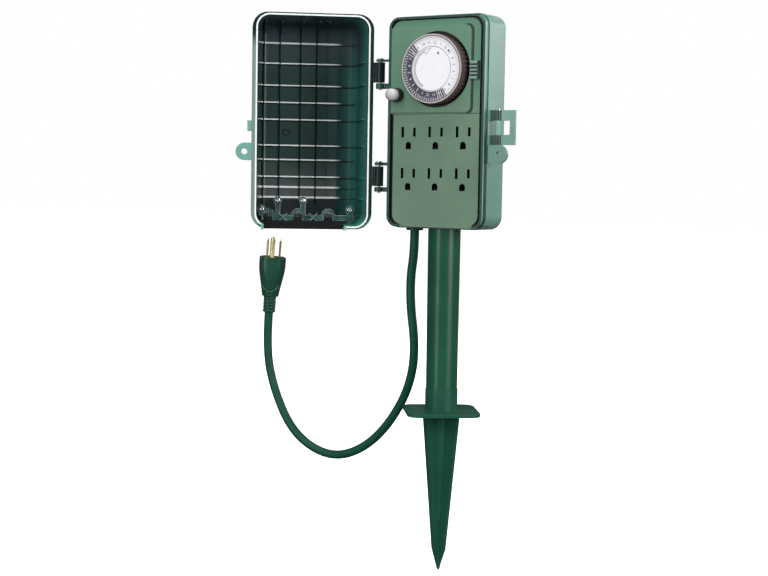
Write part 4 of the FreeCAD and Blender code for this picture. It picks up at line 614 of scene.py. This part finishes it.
# The inner outline's straight parts and its corners, and how far outside it the white lies
sealLook = {"half": 40.5, "middle": 271.6, "tall": 86.5, "round": 11.4, "white": (0.3, 1.7), "fade": 0.15,
            "farFrom": 50.0, "farOut": 1.9, "farShare": 0.8, "pale": tint(246, 252, 250),
            "dusty": tint(226, 238, 234), "dust": 8.0, "rough": 0.46, "dustRough": 0.1, "shine": 0.3,
            "relief": 0.02}


# How far a point lies outside a rounded outline, from how far it is past the outline's straight parts
def outsideRound(pastSide, pastEnd, corner):
    right = pastSide.maths("MAXIMUM", 0.0)
    up = pastEnd.maths("MAXIMUM", 0.0)
    return (right * right + up * up) ** 0.5 - corner


# The pale seal on the rim: a white line along its inner rounded outline, the seal's colour and also a painted
# highlight, and beside it the rim's dark painted shade, painted paler on the far side as painted light
def rimSeal(look, door):
    paint = Paint("rimSeal")
    shutX = shutPlace(paint, door)[0]
    height = paint.axis("Z")
    out = outsideRound(abs(shutX) - look["half"], abs(height - look["middle"]) - look["tall"], look["round"])
    dust = paint.noise(look["dust"], 4.0)
    # The far side is painted paler, as painted light
    far = (shutX > look["farFrom"]) * paint.ramp(height, *door["paleHeight"]) * (out > look["farOut"])
    beside = paint.blend(far * look["farShare"], door["rim"], door["rimPaleLit"])
    pale = paint.blend(dust, look["pale"], look["dusty"])
    paint.set(Base_Color=paint.blend(paint.band(out, *look["white"], look["fade"]), beside, pale),
              Roughness=look["rough"] + look["dustRough"] * dust, Specular_IOR_Level=look["shine"])
    paint.bump(dust, look["relief"])
    return paint.material


# Where a tone changes from one value to the next, along the part's own axes
caseMarks = {
    "litTopHeight": (362.0, 371.0),
    "litTopAcross": (40.0, 50.0),
    "lipShadeHeight": (296.0, 262.0),
    "lipBack": (-15.5, -15.7),
    "lipLine": (-21.3, -20.2),
    "lipHighlightShare": 0.8,
    "lipFront": (-21.2, -21.4),
    "mouthAcross": (49.1, 48.9),
    "mouthFoot": 176.6,
    "mouthTop": 366.6,
    "mouthBack": -4.0,
    "cornerHeight": (357.0, 361.0),
    "cornerAcross": 40.0,
    "cornerShare": 0.7,
    "shadow": (-15.8, -15.3),
    "shadowHalf": 52.5,
    "shadowShare": 0.8,
    "hinge": (-53.5, -55.0),
    "hingeShadeShare": 0.85,
    "latchAcross": 53.2,
    "latchLugs": ((273.0, 282.6), (250.9, 260.0)),
    "latchShadeShare": 0.95,
}


# The case: dark lugs and a dark mouth in painted shade, a deeper lip painted darker towards the bottom as
# painted shade, with a painted highlight line and a front in painted shade, a painted shadow line behind it,
# paler walls, and a top painted paler as painted light
def caseByPlace(paint, tone, look):
    marks = caseMarks
    across = paint.axis("X")
    back = paint.axis("Y")
    height = paint.axis("Z")
    # The top face is painted paler, as painted light from above
    litTop = paint.ramp(height, *marks["litTopHeight"]) * paint.ramp(across, *marks["litTopAcross"])
    tone = paint.blend(litTop, tone, look["top"])
    # The lip's outer side is painted darker towards the bottom, as painted shade
    shadedFlank = paint.blend(paint.ramp(height, *marks["lipShadeHeight"]), look["lip"], look["lipLow"])
    tone = paint.blend(paint.ramp(back, *marks["lipBack"]), tone, shadedFlank)
    # A pale painted highlight along the lip's outer front edge
    tone = paint.blend(paint.band(back, *marks["lipLine"]) * marks["lipHighlightShare"], tone, look["lipLine"])
    # The lip's front face is painted dark green, as painted shade
    tone = paint.blend(paint.ramp(back, *marks["lipFront"]), tone, look["lipFront"])
    # Painted shade in the gap between the case's mouth and the panels, lighter in the top corner
    between = (height > marks["mouthFoot"]) * (height < marks["mouthTop"])
    inMouth = paint.ramp(abs(across), *marks["mouthAcross"]) * between * (back < marks["mouthBack"])
    corner = paint.ramp(height, *marks["cornerHeight"]) * (across > marks["cornerAcross"])
    mouthShade = paint.blend(corner * marks["cornerShare"], look["shade"], look["lip"])
    tone = paint.blend(inMouth, tone, mouthShade)
    shadow = paint.band(back, *marks["shadow"]) * (abs(across) < marks["shadowHalf"])
    tone = paint.blend(shadow * marks["shadowShare"], tone, look["shade"])
    # The hinge and latch lugs are painted dark, as painted shade
    tone = paint.blend(paint.ramp(across, *marks["hinge"]) * marks["hingeShadeShare"], tone, look["lug"])
    upper, lower = (paint.band(height, *lug) for lug in marks["latchLugs"])
    latch = (across > marks["latchAcross"]) * (upper + lower)
    return paint.blend(latch * marks["latchShadeShare"], tone, look["lug"])


panelMarks = {
    "upper": (279.0, 300.0),
    "upperLitShare": 0.42,
    "lowFace": (-21.3, -20.9),
    "lowFaceLitShare": 0.25,
    "plateX": 31.6,
    "plateZ": 319.4,
    "plateTall": 34.0,
    "plateRound": 5.0,
    "shadow": (0.0, 2.4),
    "shadowFade": 0.2,
    "shadowAcross": (29.0, 33.5),
    "shadowFoot": 279.6,
    "shadowShare": 0.9,
    "recessShade": (-19.9, -19.5),
}


# The panels: the upper part and more its low face by the raised plate painted more blue as painted light,
# painted shade in grooves and holes, and a painted shadow at the plate's edge
def panelByPlace(paint, tone, look):
    marks = panelMarks
    across = paint.axis("X")
    back = paint.axis("Y")
    height = paint.axis("Z")
    # The upper part is painted more blue-green, more so on its low face, as painted light
    bluer = marks["upperLitShare"] + marks["lowFaceLitShare"] * paint.ramp(back, *marks["lowFace"])
    tone = paint.blend(paint.ramp(height, *marks["upper"]) * bluer, tone, look["upper"])
    out = outsideRound(across - marks["plateX"], abs(height - marks["plateZ"]) - marks["plateTall"],
                       marks["plateRound"])
    beside = paint.band(out, *marks["shadow"], marks["shadowFade"]) * (height > marks["shadowFoot"])
    beside = beside * paint.ramp(across, *marks["shadowAcross"]) * marks["shadowShare"]
    tone = paint.blend(beside, tone, look["shade"])
    # Painted shade in the grooves and holes behind the face
    return paint.blend(paint.ramp(back, *marks["recessShade"]), tone, look["shade"])


thumbMarks = {"recessShade": (-24.0, -23.6), "rightSideShade": (44.4, 44.6)}


# The thumb: painted shade between its ribs and down its right side
def thumbByPlace(paint, tone, look):
    # Painted shade between the ribs and down the right side
    recessShade = paint.ramp(paint.axis("Y"), *thumbMarks["recessShade"])
    rightSideShade = paint.ramp(paint.axis("X"), *thumbMarks["rightSideShade"])
    return paint.blend(recessShade.maths("MAXIMUM", rightSideShade), tone, look["shade"])


ringMarks = {"front": (-30.9, -31.2), "printFade": 0.1, "gapShade": (29.4, 29.8), "bright": (30.7, 31.3),
             "lineShare": 0.7, "side": (-31.3, -30.9), "foot": (-26.0, -17.0), "day": tint(224, 222, 228),
             "night": tint(66, 66, 78)}


# The dial's ring and trippers: the label's print runs a little onto their front, then grey with a painted
# shadow line by the label and a painted highlight line at the edge, and painted shade down the side, brown
# and then black towards the foot
def ringByPlace(paint, tone, look):
    marks = ringMarks
    radius, clock = dialPlace(paint, dial)[2:]
    toothed, night = nightComb(clock, dial)
    back = paint.axis("Y")
    inFront = paint.ramp(back, *marks["front"])
    label = paint.blend(night * toothed, marks["day"], marks["night"])
    edge = dial["printedOuter"]
    printed = paint.ramp(radius, edge + marks["printFade"], edge - marks["printFade"]) * inFront
    tone = paint.blend(printed, tone, label)
    # A painted shadow line and a painted highlight line on the front
    for line, colour in (("gapShade", look["foot"]), ("bright", look["pale"])):
        tone = paint.blend(paint.band(radius, *marks[line]) * inFront * marks["lineShare"], tone, colour)
    # Painted shade: brown down the side and black towards the foot
    tone = paint.blend(paint.ramp(back, *marks["side"]), tone, look["side"])
    return paint.blend(paint.ramp(back, *marks["foot"]), tone, look["foot"])


plasticLooks = {
    # Case tones: the top is painted light, the lower lip, the lip's front, the shade and the lugs' tone are
    # painted shade, the lip line a painted highlight
    "case": {"colour": tint(104, 146, 132), "deep": tint(94, 136, 122), "pale": tint(196, 216, 208),
             "rough": 0.36, "lip": tint(84, 134, 120), "lipLow": tint(16, 60, 47),
             "lipLine": tint(152, 198, 180), "lipFront": tint(22, 70, 54), "shade": tint(9, 42, 32),
             "top": tint(176, 196, 190), "lug": tint(12, 50, 38)},
    # The panel's upper tone is painted light and its shade tone painted shade
    "panel": {"colour": tint(105, 134, 112), "deep": tint(97, 126, 105), "pale": tint(182, 204, 188),
              "rough": 0.46, "shine": 0.38, "upper": tint(78, 134, 110), "shade": tint(4, 26, 19)},
    "thumb": {"colour": tint(122, 154, 143), "deep": tint(106, 138, 128), "pale": tint(236, 248, 242),
              "rough": 0.38, "edge": 0.35, "shade": tint(8, 32, 25)},
    "hasp": {"colour": tint(118, 158, 147), "deep": tint(102, 144, 133), "pale": tint(216, 230, 225),
             "rough": 0.34},
    # The gate's corners are painted near white, mostly as a painted highlight
    "gate": {"colour": tint(52, 88, 83), "deep": tint(22, 50, 48), "pale": tint(226, 240, 236),
             "rough": 0.3, "wear": 0.95, "edge": 0.6, "cloud": 6.0},
    "post": {"colour": tint(22, 80, 57), "deep": tint(17, 70, 49), "pale": tint(84, 130, 108),
             "rough": 0.32, "relief": 0.016, "wear": 0.3, "shine": 0.34},
    "stake": {"colour": tint(28, 82, 63), "deep": tint(22, 71, 54), "pale": tint(96, 138, 118),
              "rough": 0.4, "relief": 0.03, "wear": 0.35, "edge": 0.7, "shine": 0.25},
    # The ring's side and foot tones are painted shade
    "ring": {"colour": tint(150, 142, 144), "deep": tint(134, 126, 128), "pale": tint(232, 226, 228),
             "rough": 0.36, "edge": 0.25, "wear": 0.2, "side": tint(86, 69, 67), "foot": tint(16, 13, 13)},
    "nylon": {"colour": tint(226, 222, 208), "deep": tint(212, 206, 190), "pale": tint(245, 243, 236),
              "rough": 0.45, "edge": 0.2},
    "knob": {"colour": tint(190, 188, 189), "deep": tint(178, 176, 177), "pale": tint(236, 234, 236),
             "rough": 0.34, "edge": 0.3},
    "black": {"colour": tint(20, 21, 23), "deep": tint(14, 15, 16), "pale": tint(96, 100, 102),
              "rough": 0.38, "edge": 0.3},
}
byPlace = {"case": caseByPlace, "panel": panelByPlace, "thumb": thumbByPlace, "ring": ringByPlace}
rubberLooks = {
    "cord": {"colour": tint(22, 80, 61), "deep": tint(17, 70, 53), "rough": 0.42, "shine": 0.22},
    # The boot's pale and line tones are the plug's painted highlight and painted shadow
    "boot": {"colour": tint(24, 76, 58), "deep": tint(19, 66, 50), "rough": 0.36, "shine": 0.42,
             "pale": tint(140, 172, 136), "line": tint(4, 24, 18)},
    "seal": {"colour": tint(9, 10, 11), "deep": tint(15, 17, 18), "rough": 0.5, "shine": 0.25},
    "lead": {"colour": tint(70, 74, 76), "deep": tint(54, 58, 60), "rough": 0.42},
}
metalLooks = {
    "brass": {"colour": tint(250, 236, 184), "deep": tint(232, 212, 150), "rough": 0.46, "relief": 0.002},
    "copper": {"colour": tint(112, 82, 58), "deep": tint(78, 56, 40), "rough": 0.5},
    "steel": {"colour": tint(214, 216, 220), "deep": tint(168, 170, 176), "rough": 0.22},
}
# Which finish each solid takes
finishes = {
    "case": ["rear_case"],
    "panel": ["outlet_panel", "timer_panel"],
    "thumb": ["slide_thumb"],
    "hasp": ["latch_hasp"],
    "gate": ["cord_gate", "gate_clips"],
    "post": ["post"],
    "stake": ["ground_stake"],
    "ring": ["dial_ring", "night_trippers", "morning_trippers", "afternoon_trippers", "evening_trippers"],
    "nylon": ["dial_gear", "idler_gear", "motor_pinion"],
    "knob": ["reset_button"],
    "black": ["breaker_collar", "breaker_body", "micro_switch", "slide_switch_body", "timer_housing",
              "contact_carrier", "clamp_saddle", "clamp_base"],
    "cord": ["cord_tail"],
    "boot": ["cord_gland", "plug_boot", "plug_body"],
    "seal": ["cord_seal_strip"],
    "lead": ["line_lead", "neutral_lead", "ground_lead", "timer_lead"],
    "brass": ["plug_blades", "plug_ground_pin"],
    "copper": ["line_bus", "neutral_bus", "ground_bus"],
    "steel": ["case_screws", "timer_screws", "post_screw", "gate_screws", "clamp_screws", "hinge_pins",
              "latch_pin", "switch_lever", "timer_motor"],
}
paints = {name: moulded(name + "Plastic", look, byPlace.get(name)) for name, look in plasticLooks.items()}
paints.update({name: rubber(name + "Rubber", look) for name, look in rubberLooks.items()})
paints.update({name: metal(name + "Metal", look) for name, look in metalLooks.items()})


def coat(thing, material):
    thing.data.materials.clear()
    thing.data.materials.append(material)


for finish, names in finishes.items():
    for name in names:
        coat(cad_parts[name], paints[finish])
coat(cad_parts["hour_ring"], hourLabel(dial))
coat(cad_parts["dial_centre"], centreDisc(disc))
coat(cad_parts["door_shell"], coverPlastic(doorLook))
coat(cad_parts["door_gasket"], rimSeal(sealLook, doorLook))
coat(flexCord, paints["cord"])
print("finishes made")


# A grid of points: rows run along the piece, columns go round it
def surface(name, body, material, grids, smooth=True):
    points = []
    faces = []
    base = 0
    for grid in grids:
        rows, columns = grid.shape[:2]
        index = base + np.arange(rows * columns).reshape(rows, columns)
        around = np.concatenate([index, index[:, :1]], axis=1)
        quads = np.stack([around[:-1, :-1], around[:-1, 1:], around[1:, 1:], around[1:, :-1]], axis=-1)
        faces.append(quads.reshape(-1, 4))
        points.append(grid.reshape(-1, 3))
        base += rows * columns
    mesh = bpy.data.meshes.new(name)
    mesh.from_pydata((np.concatenate(points) * millimetre).tolist(), [], np.concatenate(faces).tolist())
    return finishMesh(name, mesh, body, material, smooth)


mergeWithin = 1e-7


# Doubles at poles are merged, and faces are turned outwards
def finishMesh(name, mesh, body, material, smooth):
    work = bmesh.new()
    work.from_mesh(mesh)
    bmesh.ops.remove_doubles(work, verts=work.verts, dist=mergeWithin)
    bmesh.ops.recalc_face_normals(work, faces=work.faces)
    for face in work.faces:
        face.smooth = smooth
    work.to_mesh(mesh)
    work.free()
    piece = bpy.data.objects.new(name, mesh)
    bpy.context.scene.collection.objects.link(piece)
    coat(piece, material)
    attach(piece, body)
    return piece


# A turned shape: radius and height along the axis, carried round it
def turnedGrid(profile, count, centre=(0, 0, 0), axis="z"):
    radius, height = np.array(profile, float).T[:, :, None]
    angle = np.linspace(0, 2 * pi, count, endpoint=False)[None, :]
    across = radius * np.cos(angle)
    along = radius * np.sin(angle)
    rise = height + 0 * angle
    order = {"z": (across, along, rise), "y": (across, -rise, along)}[axis]
    return np.stack(order, axis=-1) + np.array(centre, float)


# Door pieces are worked out shut, then turned about the hinge as the door stands open
def swing(points):
    turn = radians(hinge["open"])
    across = points[..., 0] - hinge["x"]
    back = points[..., 1] - hinge["y"]
    return np.stack([hinge["x"] + across * cos(turn) + back * sin(turn),
                     hinge["y"] - across * sin(turn) + back * cos(turn), points[..., 2]], axis=-1)


knob = {"x": -40.4, "z": 296.9, "radius": 5.6, "foot": 27.9, "shoulder": 33.4, "tip": 38.5, "sidePower": 0.9,
        "tipPower": 0.95, "bevel": 0.4, "stem": 2.0, "stemBack": 14.0, "steps": 22, "round": 72}


# The button: a straight skirt, then a quarter of an ellipse whose power is a little over two
def makeKnob(look):
    turn = np.linspace(0, pi / 2, look["steps"])
    rise = look["tip"] - look["shoulder"]
    dome = np.stack([look["radius"] * np.cos(turn) ** look["sidePower"],
                     look["shoulder"] + rise * np.sin(turn) ** look["tipPower"]], axis=1)
    foot = [(0, look["stemBack"]), (look["stem"], look["stemBack"]), (look["stem"], look["foot"]),
            (look["radius"] - look["bevel"], look["foot"]), (look["radius"], look["foot"] + look["bevel"])]
    grid = turnedGrid(foot + dome.tolist(), look["round"], (look["x"], 0, look["z"]), "y")
    piece = surface("resetKnob", "button", paints["knob"], [grid])
    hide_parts("reset_button")


makeKnob(knob)

boot = {"radius": 6.4, "core": 5.2, "taper": 0.35, "length": 16.2, "ribs": 5, "steps": 120, "round": 48}
plugPose = {"x": -203.2, "z": 82.9, "lean": 4.4, "turn": 30.0}


# The plug stands on the cord's end, turned about its own axis and leaned
def standPlug(points):
    return points @ np.array(plugAxes(plugPose)).T + np.array([plugPose["x"], 0, plugPose["z"]])


# Strain relief: the radius swells and shrinks as the height climbs, once a rib
def makeBoot(look):
    height = np.linspace(0, look["length"], look["steps"])
    wave = np.sin(pi * (height / look["length"] * look["ribs"] % 1)) ** 0.5
    taper = look["taper"] * height / look["length"]
    radius = look["core"] + taper + (look["radius"] - look["core"] - taper) * wave
    profile = np.stack([radius, height], axis=1).tolist()
    grid = turnedGrid([(0, 0)] + profile + [(0, look["length"])], look["round"])
    piece = surface("plugBoot", "case", paints["boot"], [standPlug(grid)])
    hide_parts("plug_boot")
    return piece


plugForm = {
    "low": 16.2,
    "high": 56.4,
    "foot": 8.6,
    "head": 14.0,
    "swellUnder": 6,
    "swellShort": 7,
    "front": -13.0,
    "rear": 10.0,
    "round": 1.6,
    "rows": 150,
    "columns": 288,
    "topRound": 1.2,
    "footRound": 1.0,
    "footIn": 0.9,
    "capRings": 8,
    "panelLow": 22.6,
    "panelBend": 36.0,
    "panelWide": 0.8,
    "panelRise": 0.9,
    "panelEdge": 0.25,
    "panelFace": (0.25, 0.45),
    "seam": 0.35,
    "seamWide": 0.5,
    "markHeight": 19.4,
    "markSize": 0.9,
    "markDeep": 0.7,
}


def smoothStep(value, low, high):
    share = np.clip((value - low) / (high - low), 0, 1)
    return share * share * (3 - 2 * share)


# The plug's body: circles that widen with the height, pressed flat in front and behind by a soft limit,
# with a raised U on both flats, a fine parting ridge at each side and one round dimple
def makePlug(look):
    height = np.linspace(look["low"], look["high"], look["rows"])[:, None]
    angle = np.linspace(0, 2 * pi, look["columns"], endpoint=False)[None, :]
    swell = smoothStep(height, look["low"] - look["swellUnder"], look["high"] - look["swellShort"])
    wide = look["foot"] + (look["head"] - look["foot"]) * swell
    top = np.clip((height - (look["high"] - look["topRound"])) / look["topRound"], 0, 1)
    bottom = np.clip((look["low"] + look["footRound"] - height) / look["footRound"], 0, 1)
    topIn = look["topRound"] * (1 - np.sqrt(1 - top ** 2))
    footIn = look["footIn"] * (1 - np.sqrt(1 - bottom ** 2))
    wide = wide - topIn - footIn
    across = wide * np.cos(angle)
    back = wide * np.sin(angle)
    for limit, side in ((look["rear"], 1), (-look["front"], -1)):
        over = np.maximum(side * back - (limit - look["round"]), 0)
        pressed = limit - look["round"] + look["round"] * (1 - np.exp(-over / look["round"]))
        back = np.where(over > 0, side * pressed, back)
    bend = np.clip((look["panelBend"] - height) / (look["panelBend"] - look["panelLow"]), 0, 1)
    reach = look["panelWide"] * wide * np.sqrt(1 - bend ** 2)
    inside = smoothStep(reach - np.abs(across), -look["panelEdge"], look["panelEdge"])
    inside = inside * (height > look["panelLow"])
    facing = smoothStep(np.abs(np.sin(angle)), *look["panelFace"])
    lift = look["panelRise"] * (inside * facing - 1)
    ridge = look["seam"] * np.exp(-(np.sin(angle) * wide / look["seamWide"]) ** 2)
    fromMark = across ** 2 + (height - look["markHeight"]) ** 2
    dimple = look["markDeep"] * np.exp(-fromMark / look["markSize"] ** 2) * (back < 0)
    grow = 1 + (lift + ridge - dimple) / np.maximum(np.hypot(across, back), 1)
    grid = np.stack([across * grow, back * grow, height + 0 * angle], axis=-1)
    shrink = np.linspace(1, 0, look["capRings"])[1:, None, None]
    cap = grid[-1:] * np.concatenate([shrink, shrink, 0 * shrink + 1], axis=2)
    foot = grid[:1] * np.concatenate([1 - shrink, 1 - shrink, 0 * shrink + 1], axis=2)
    ink = plugRubber("plugRubber", rubberLooks["boot"], plugMarks, look, plugPose)
    piece = surface("plugBody", "case", ink, [standPlug(np.concatenate([foot, grid, cap]))])
    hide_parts("plug_body")
    return piece


plugPieces = [makeBoot(boot), makePlug(plugForm)]
print("plug shaped")


screwForm = {"rings": 30, "round": 64, "edge": 0.55, "slotFoot": 0.6, "tip": 1.0}
gateScrews = {"head": 2.4, "thick": 1.5, "shank": 1.3, "length": 8.6, "slot": 0.42, "reach": 1.7, "sink": 0.8,
              "seat": -36.0, "places": [(-38.5, 188.5), (6.5, 197.0), (30.7, 197.0), (46.0, 188.5)]}
caseScrews = {"head": 3.1, "thick": 2.0, "shank": 1.5, "length": 20.0, "slot": 0.5, "reach": 2.2, "sink": 1.1,
              "seat": 15.0, "places": [(side * x, z) for x, z in ((43.0, 183.5), (30.0, 273.5), (34.0, 284.5),
                                                                  (43.0, 358.0)) for side in (-1, 1)]}
postScrew = {"head": 3.1, "thick": 1.7, "shank": 1.5, "length": 10.0, "slot": 0.5, "reach": 2.2, "sink": 1.0,
             "seat": 16.0, "places": [(0.0, 191.0)]}


# A cross-slotted pan head on its shank: a flat dome, less a cross that deepens towards the middle
def screwGrid(look, place):
    share = np.linspace(0, 1, screwForm["rings"])[:, None]
    angle = np.linspace(0, 2 * pi, screwForm["round"], endpoint=False)[None, :]
    radius = look["head"] * share
    across = radius * np.cos(angle)
    along = radius * np.sin(angle)
    slot = np.minimum(np.abs(across), np.abs(along))
    cross = smoothStep(-slot, -look["slot"], -look["slot"] * screwForm["slotFoot"])
    cross = cross * smoothStep(-radius, -look["reach"], 0)
    dome = screwForm["edge"] + (1 - screwForm["edge"]) * np.sqrt(1 - share ** 2)
    head = np.stack([across, along, look["thick"] * dome - look["sink"] * cross], axis=-1)
    # Rim, shank and tip: a radius and a depth each
    low = -look["length"]
    rounds = [(look["head"], 0), (look["shank"], 0), (look["shank"], screwForm["tip"] + low), (0, low)]
    below = [np.stack([size * np.cos(angle), size * np.sin(angle), depth + 0 * angle], axis=-1)
             for size, depth in rounds]
    x, y, z = np.moveaxis(np.concatenate([head, *below]), -1, 0)
    return np.stack([place[0] + x, place[1] + z, place[2] + y], axis=-1)


def makeScrews(name, look, body, node):
    grids = [screwGrid(look, (x, look["seat"], z)) for x, z in look["places"]]
    if body == "door":
        grids = [swing(grid) for grid in grids]
    piece = surface(name, body, paints["steel"], grids)
    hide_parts(node)


makeScrews("gateScrewSet", gateScrews, "door", "gate_screws")
makeScrews("caseScrewSet", caseScrews, "case", "case_screws")
makeScrews("postScrewHead", postScrew, "case", "post_screw")
print("screws cut")


# Points on the dial's face from a radius and a clock angle in degrees
def onDial(radius, clock, lift):
    turn = np.radians(clock)
    return np.stack([dial["x"] + radius * np.sin(turn), dial["front"] - lift + 0 * turn,
                     dial["z"] + radius * np.cos(turn)], axis=-1)


# A flat line carried along a path on the dial: its section is a thin rectangle
def printedLine(path, width, lift):
    ahead = np.roll(path, -1, axis=0) - np.roll(path, 1, axis=0)
    ahead[0] = path[1] - path[0]
    ahead[-1] = path[-1] - path[-2]
    side = np.stack([ahead[:, 2], 0 * ahead[:, 0], -ahead[:, 0]], axis=-1)
    side = side / np.linalg.norm(side, axis=1)[:, None] * width / 2
    deep = np.array([0, lift, 0])
    ring = np.stack([path - side, path + side, path + side + deep, path - side + deep], axis=1)
    ends = [np.repeat(ring[end].mean(axis=0)[None, None], 4, axis=1) for end in (0, -1)]
    return np.concatenate([ends[0], ring, ends[1]])


inkLook = {"speck": 0.5, "speckShare": 0.3, "pale": tint(150, 150, 160), "rough": 0.4, "speckRough": 0.2}


# Printer's ink with pale specks in it
def inkPaint(name, colour):
    paint = Paint(name)
    speck = paint.noise(inkLook["speck"], 3.0)
    paint.set(Base_Color=paint.blend(speck * inkLook["speckShare"], colour, inkLook["pale"]),
              Roughness=inkLook["rough"] + inkLook["speckRough"] * speck)
    return paint.material


arrow = {"tail": 210.0, "neck": 335.0, "neckBack": 0.5, "tip": 359.0, "point": 19.0, "outer": 18.6,
         "inner": 17.2, "barb": 14.6, "line": 0.55, "lift": 0.06, "steps": 60, "markClock": 26.0,
         "markRadius": 15.4, "markSize": 1.8, "markCorners": (90.0, 210.0, 330.0), "ink": tint(70, 72, 86)}


# The turning arrow is an outline: out along the outer arc, back by the barb and the inner arc.
# A small three-cornered mark stands beside its tip
def makeArrow(look):
    ink = inkPaint("arrowInk", look["ink"])
    sweep = np.linspace(look["tail"], look["neck"], look["steps"])
    outer = onDial(np.full(look["steps"], look["outer"]), sweep, look["lift"])
    headRadius = np.array([look["outer"], look["point"], look["barb"], look["inner"]])
    headClock = np.array([look["neck"], look["tip"], look["neck"] - look["neckBack"], look["neck"]])
    head = onDial(headRadius, headClock, look["lift"])
    inner = onDial(np.full(look["steps"], look["inner"]), sweep[::-1], look["lift"])
    closing = np.stack([inner[-1], outer[0]])
    lines = [printedLine(part, look["line"], look["lift"]) for part in (outer, head, inner, closing)]
    middle = onDial(look["markRadius"], look["markClock"], look["lift"])
    turn = np.radians(np.array(look["markCorners"]) - look["markClock"])
    rim = np.stack([middle[0] + look["markSize"] * np.cos(turn), middle[1] + 0 * turn,
                    middle[2] + look["markSize"] * np.sin(turn)], axis=-1)
    deep = np.array([0, look["lift"], 0])
    centreTop = np.repeat(middle[None], len(turn), axis=0)
    mark = np.stack([centreTop, rim, rim + deep, centreTop + deep])
    surface("turnArrow", "case", ink, lines + [mark], smooth=False)


makeArrow(arrow)

numerals = {"size": 3.8, "radius": 23.7, "lift": 0.05, "first": 12, "curve": 4,
            "night": tint(240, 240, 245), "day": tint(64, 66, 82)}


# Plain hour numbers round the label, their heads outwards, pale on the night band and dark on the day one
def makeNumerals(look):
    groups = {"night": [], "day": []}
    step = 360 / dial["hours"]
    for hour in range(dial["hours"]):
        clock = hour * step + step / 2
        text = bpy.data.curves.new("hourText", "FONT")
        text.body = str((hour + look["first"] - 1) % 12 + 1)
        text.size = look["size"] * millimetre
        text.align_x = "CENTER"
        text.align_y = "CENTER"
        text.extrude = look["lift"] / 2 * millimetre
        text.resolution_u = look["curve"]
        drawn = bpy.data.objects.new("hourText", text)
        mesh = bpy.data.meshes.new_from_object(drawn)
        stand = Matrix.Rotation(radians(clock), 4, "Y") @ Matrix.Rotation(pi / 2, 4, "X")
        place = onDial(np.array(look["radius"]), np.array(clock), look["lift"] / 2)
        mesh.transform(Matrix.Translation(Vector(place.tolist()) * millimetre) @ stand)
        groups["night" if dial["nightFrom"] < clock < dial["nightTo"] else "day"].append(mesh)
        bpy.data.objects.remove(drawn)
    for part, meshes in groups.items():
        work = bmesh.new()
        for mesh in meshes:
            work.from_mesh(mesh)
        name = part + "Numbers"
        whole = bpy.data.meshes.new(name)
        work.to_mesh(whole)
        work.free()
        finishMesh(name, whole, "dial", inkPaint(name + "Ink", look[part]), False)


makeNumerals(numerals)
print("dial printed")

floorLook = {"half": 12.0, "height": -0.1525, "glow": 1.0, "pale": (0.9, 0.9, 0.9, 1.0),
             "deep": (0.86, 0.86, 0.86, 1.0), "dust": 90.0, "rough": 0.6}
studio = {
    "key": {"at": (-0.42, -2.05, 0.55), "aim": (-0.02, 0, 0.14), "wide": 0.55, "tall": 1.9, "power": 20.0},
    "fill": {"at": (1.25, -2.2, 0.7), "aim": (0.0, 0, 0.2), "wide": 1.6, "tall": 1.6, "power": 26.0,
             "matt": True},
    "side": {"at": (2.1, -0.35, 0.6), "aim": (0.0, 0, 0.2), "wide": 0.9, "tall": 1.5, "power": 30.0},
    "top": {"at": (0.0, -0.45, 2.2), "aim": (-0.05, -0.03, 0.2), "wide": 1.3, "tall": 0.9, "power": 30.0},
    "sheen": {"at": (1.0, 1.45, 0.75), "aim": (0.05, 0, 0.32), "wide": 0.8, "tall": 0.8, "power": 9.0},
    "rear": {"at": (-1.2, 1.7, 0.9), "aim": (-0.05, 0, 0.15), "wide": 1.4, "tall": 1.4, "power": 14.0,
             "matt": True},
}
worldLook = {"seen": 1.0, "shed": 0.11}


# Soft lamps about the part; a matt one lights surfaces and leaves no reflection on them
def makeStudio(look, sky):
    for name, lamp in look.items():
        data = bpy.data.lights.new(name + "Light", "AREA")
        data.shape = "RECTANGLE"
        data.size = lamp["wide"]
        data.size_y = lamp["tall"]
        data.energy = lamp["power"]
        light = bpy.data.objects.new(name + "Light", data)
        light.location = lamp["at"]
        light.rotation_euler = (Vector(lamp["aim"]) - Vector(lamp["at"])).to_track_quat("-Z", "Y").to_euler()
        light.visible_glossy = not lamp.get("matt", False)
        bpy.context.scene.collection.objects.link(light)
    # White where it is seen behind the part, and dim where it sheds light on it
    world = bpy.data.worlds.new("paleStudio")
    world.use_nodes = True
    tree = world.node_tree
    seen = tree.nodes.new("ShaderNodeLightPath")
    strength = tree.nodes.new("ShaderNodeMapRange")
    strength.inputs["To Min"].default_value = sky["shed"]
    strength.inputs["To Max"].default_value = sky["seen"]
    tree.links.new(seen.outputs["Is Camera Ray"], strength.inputs["Value"])
    tree.nodes["Background"].inputs["Color"].default_value = (1.0, 1.0, 1.0, 1.0)
    tree.links.new(strength.outputs["Result"], tree.nodes["Background"].inputs["Strength"])
    bpy.context.scene.world = world


# A pale glowing floor that is out of the part's reflections
def makeFloor(look):
    half = look["half"]
    mesh = bpy.data.meshes.new("floor")
    mesh.from_pydata([(-half, -half, look["height"]), (half, -half, look["height"]),
                      (half, half, look["height"]), (-half, half, look["height"])], [], [(0, 1, 2, 3)])
    floor = bpy.data.objects.new("floor", mesh)
    floor.visible_glossy = False
    floor.visible_diffuse = False
    bpy.context.scene.collection.objects.link(floor)
    paint = Paint("paleFloor")
    dust = paint.noise(look["dust"], 3.0)
    paint.set(Base_Color=paint.blend(dust, look["pale"], look["deep"]), Roughness=look["rough"],
              Emission_Color=(1.0, 1.0, 1.0, 1.0), Emission_Strength=look["glow"], Specular_IOR_Level=0.0)
    coat(floor, paint.material)


makeStudio(studio, worldLook)
makeFloor(floorLook)
bpy.context.scene.view_settings.view_transform = "Standard"
print("studio lit")

bpy.context.view_layer.update()
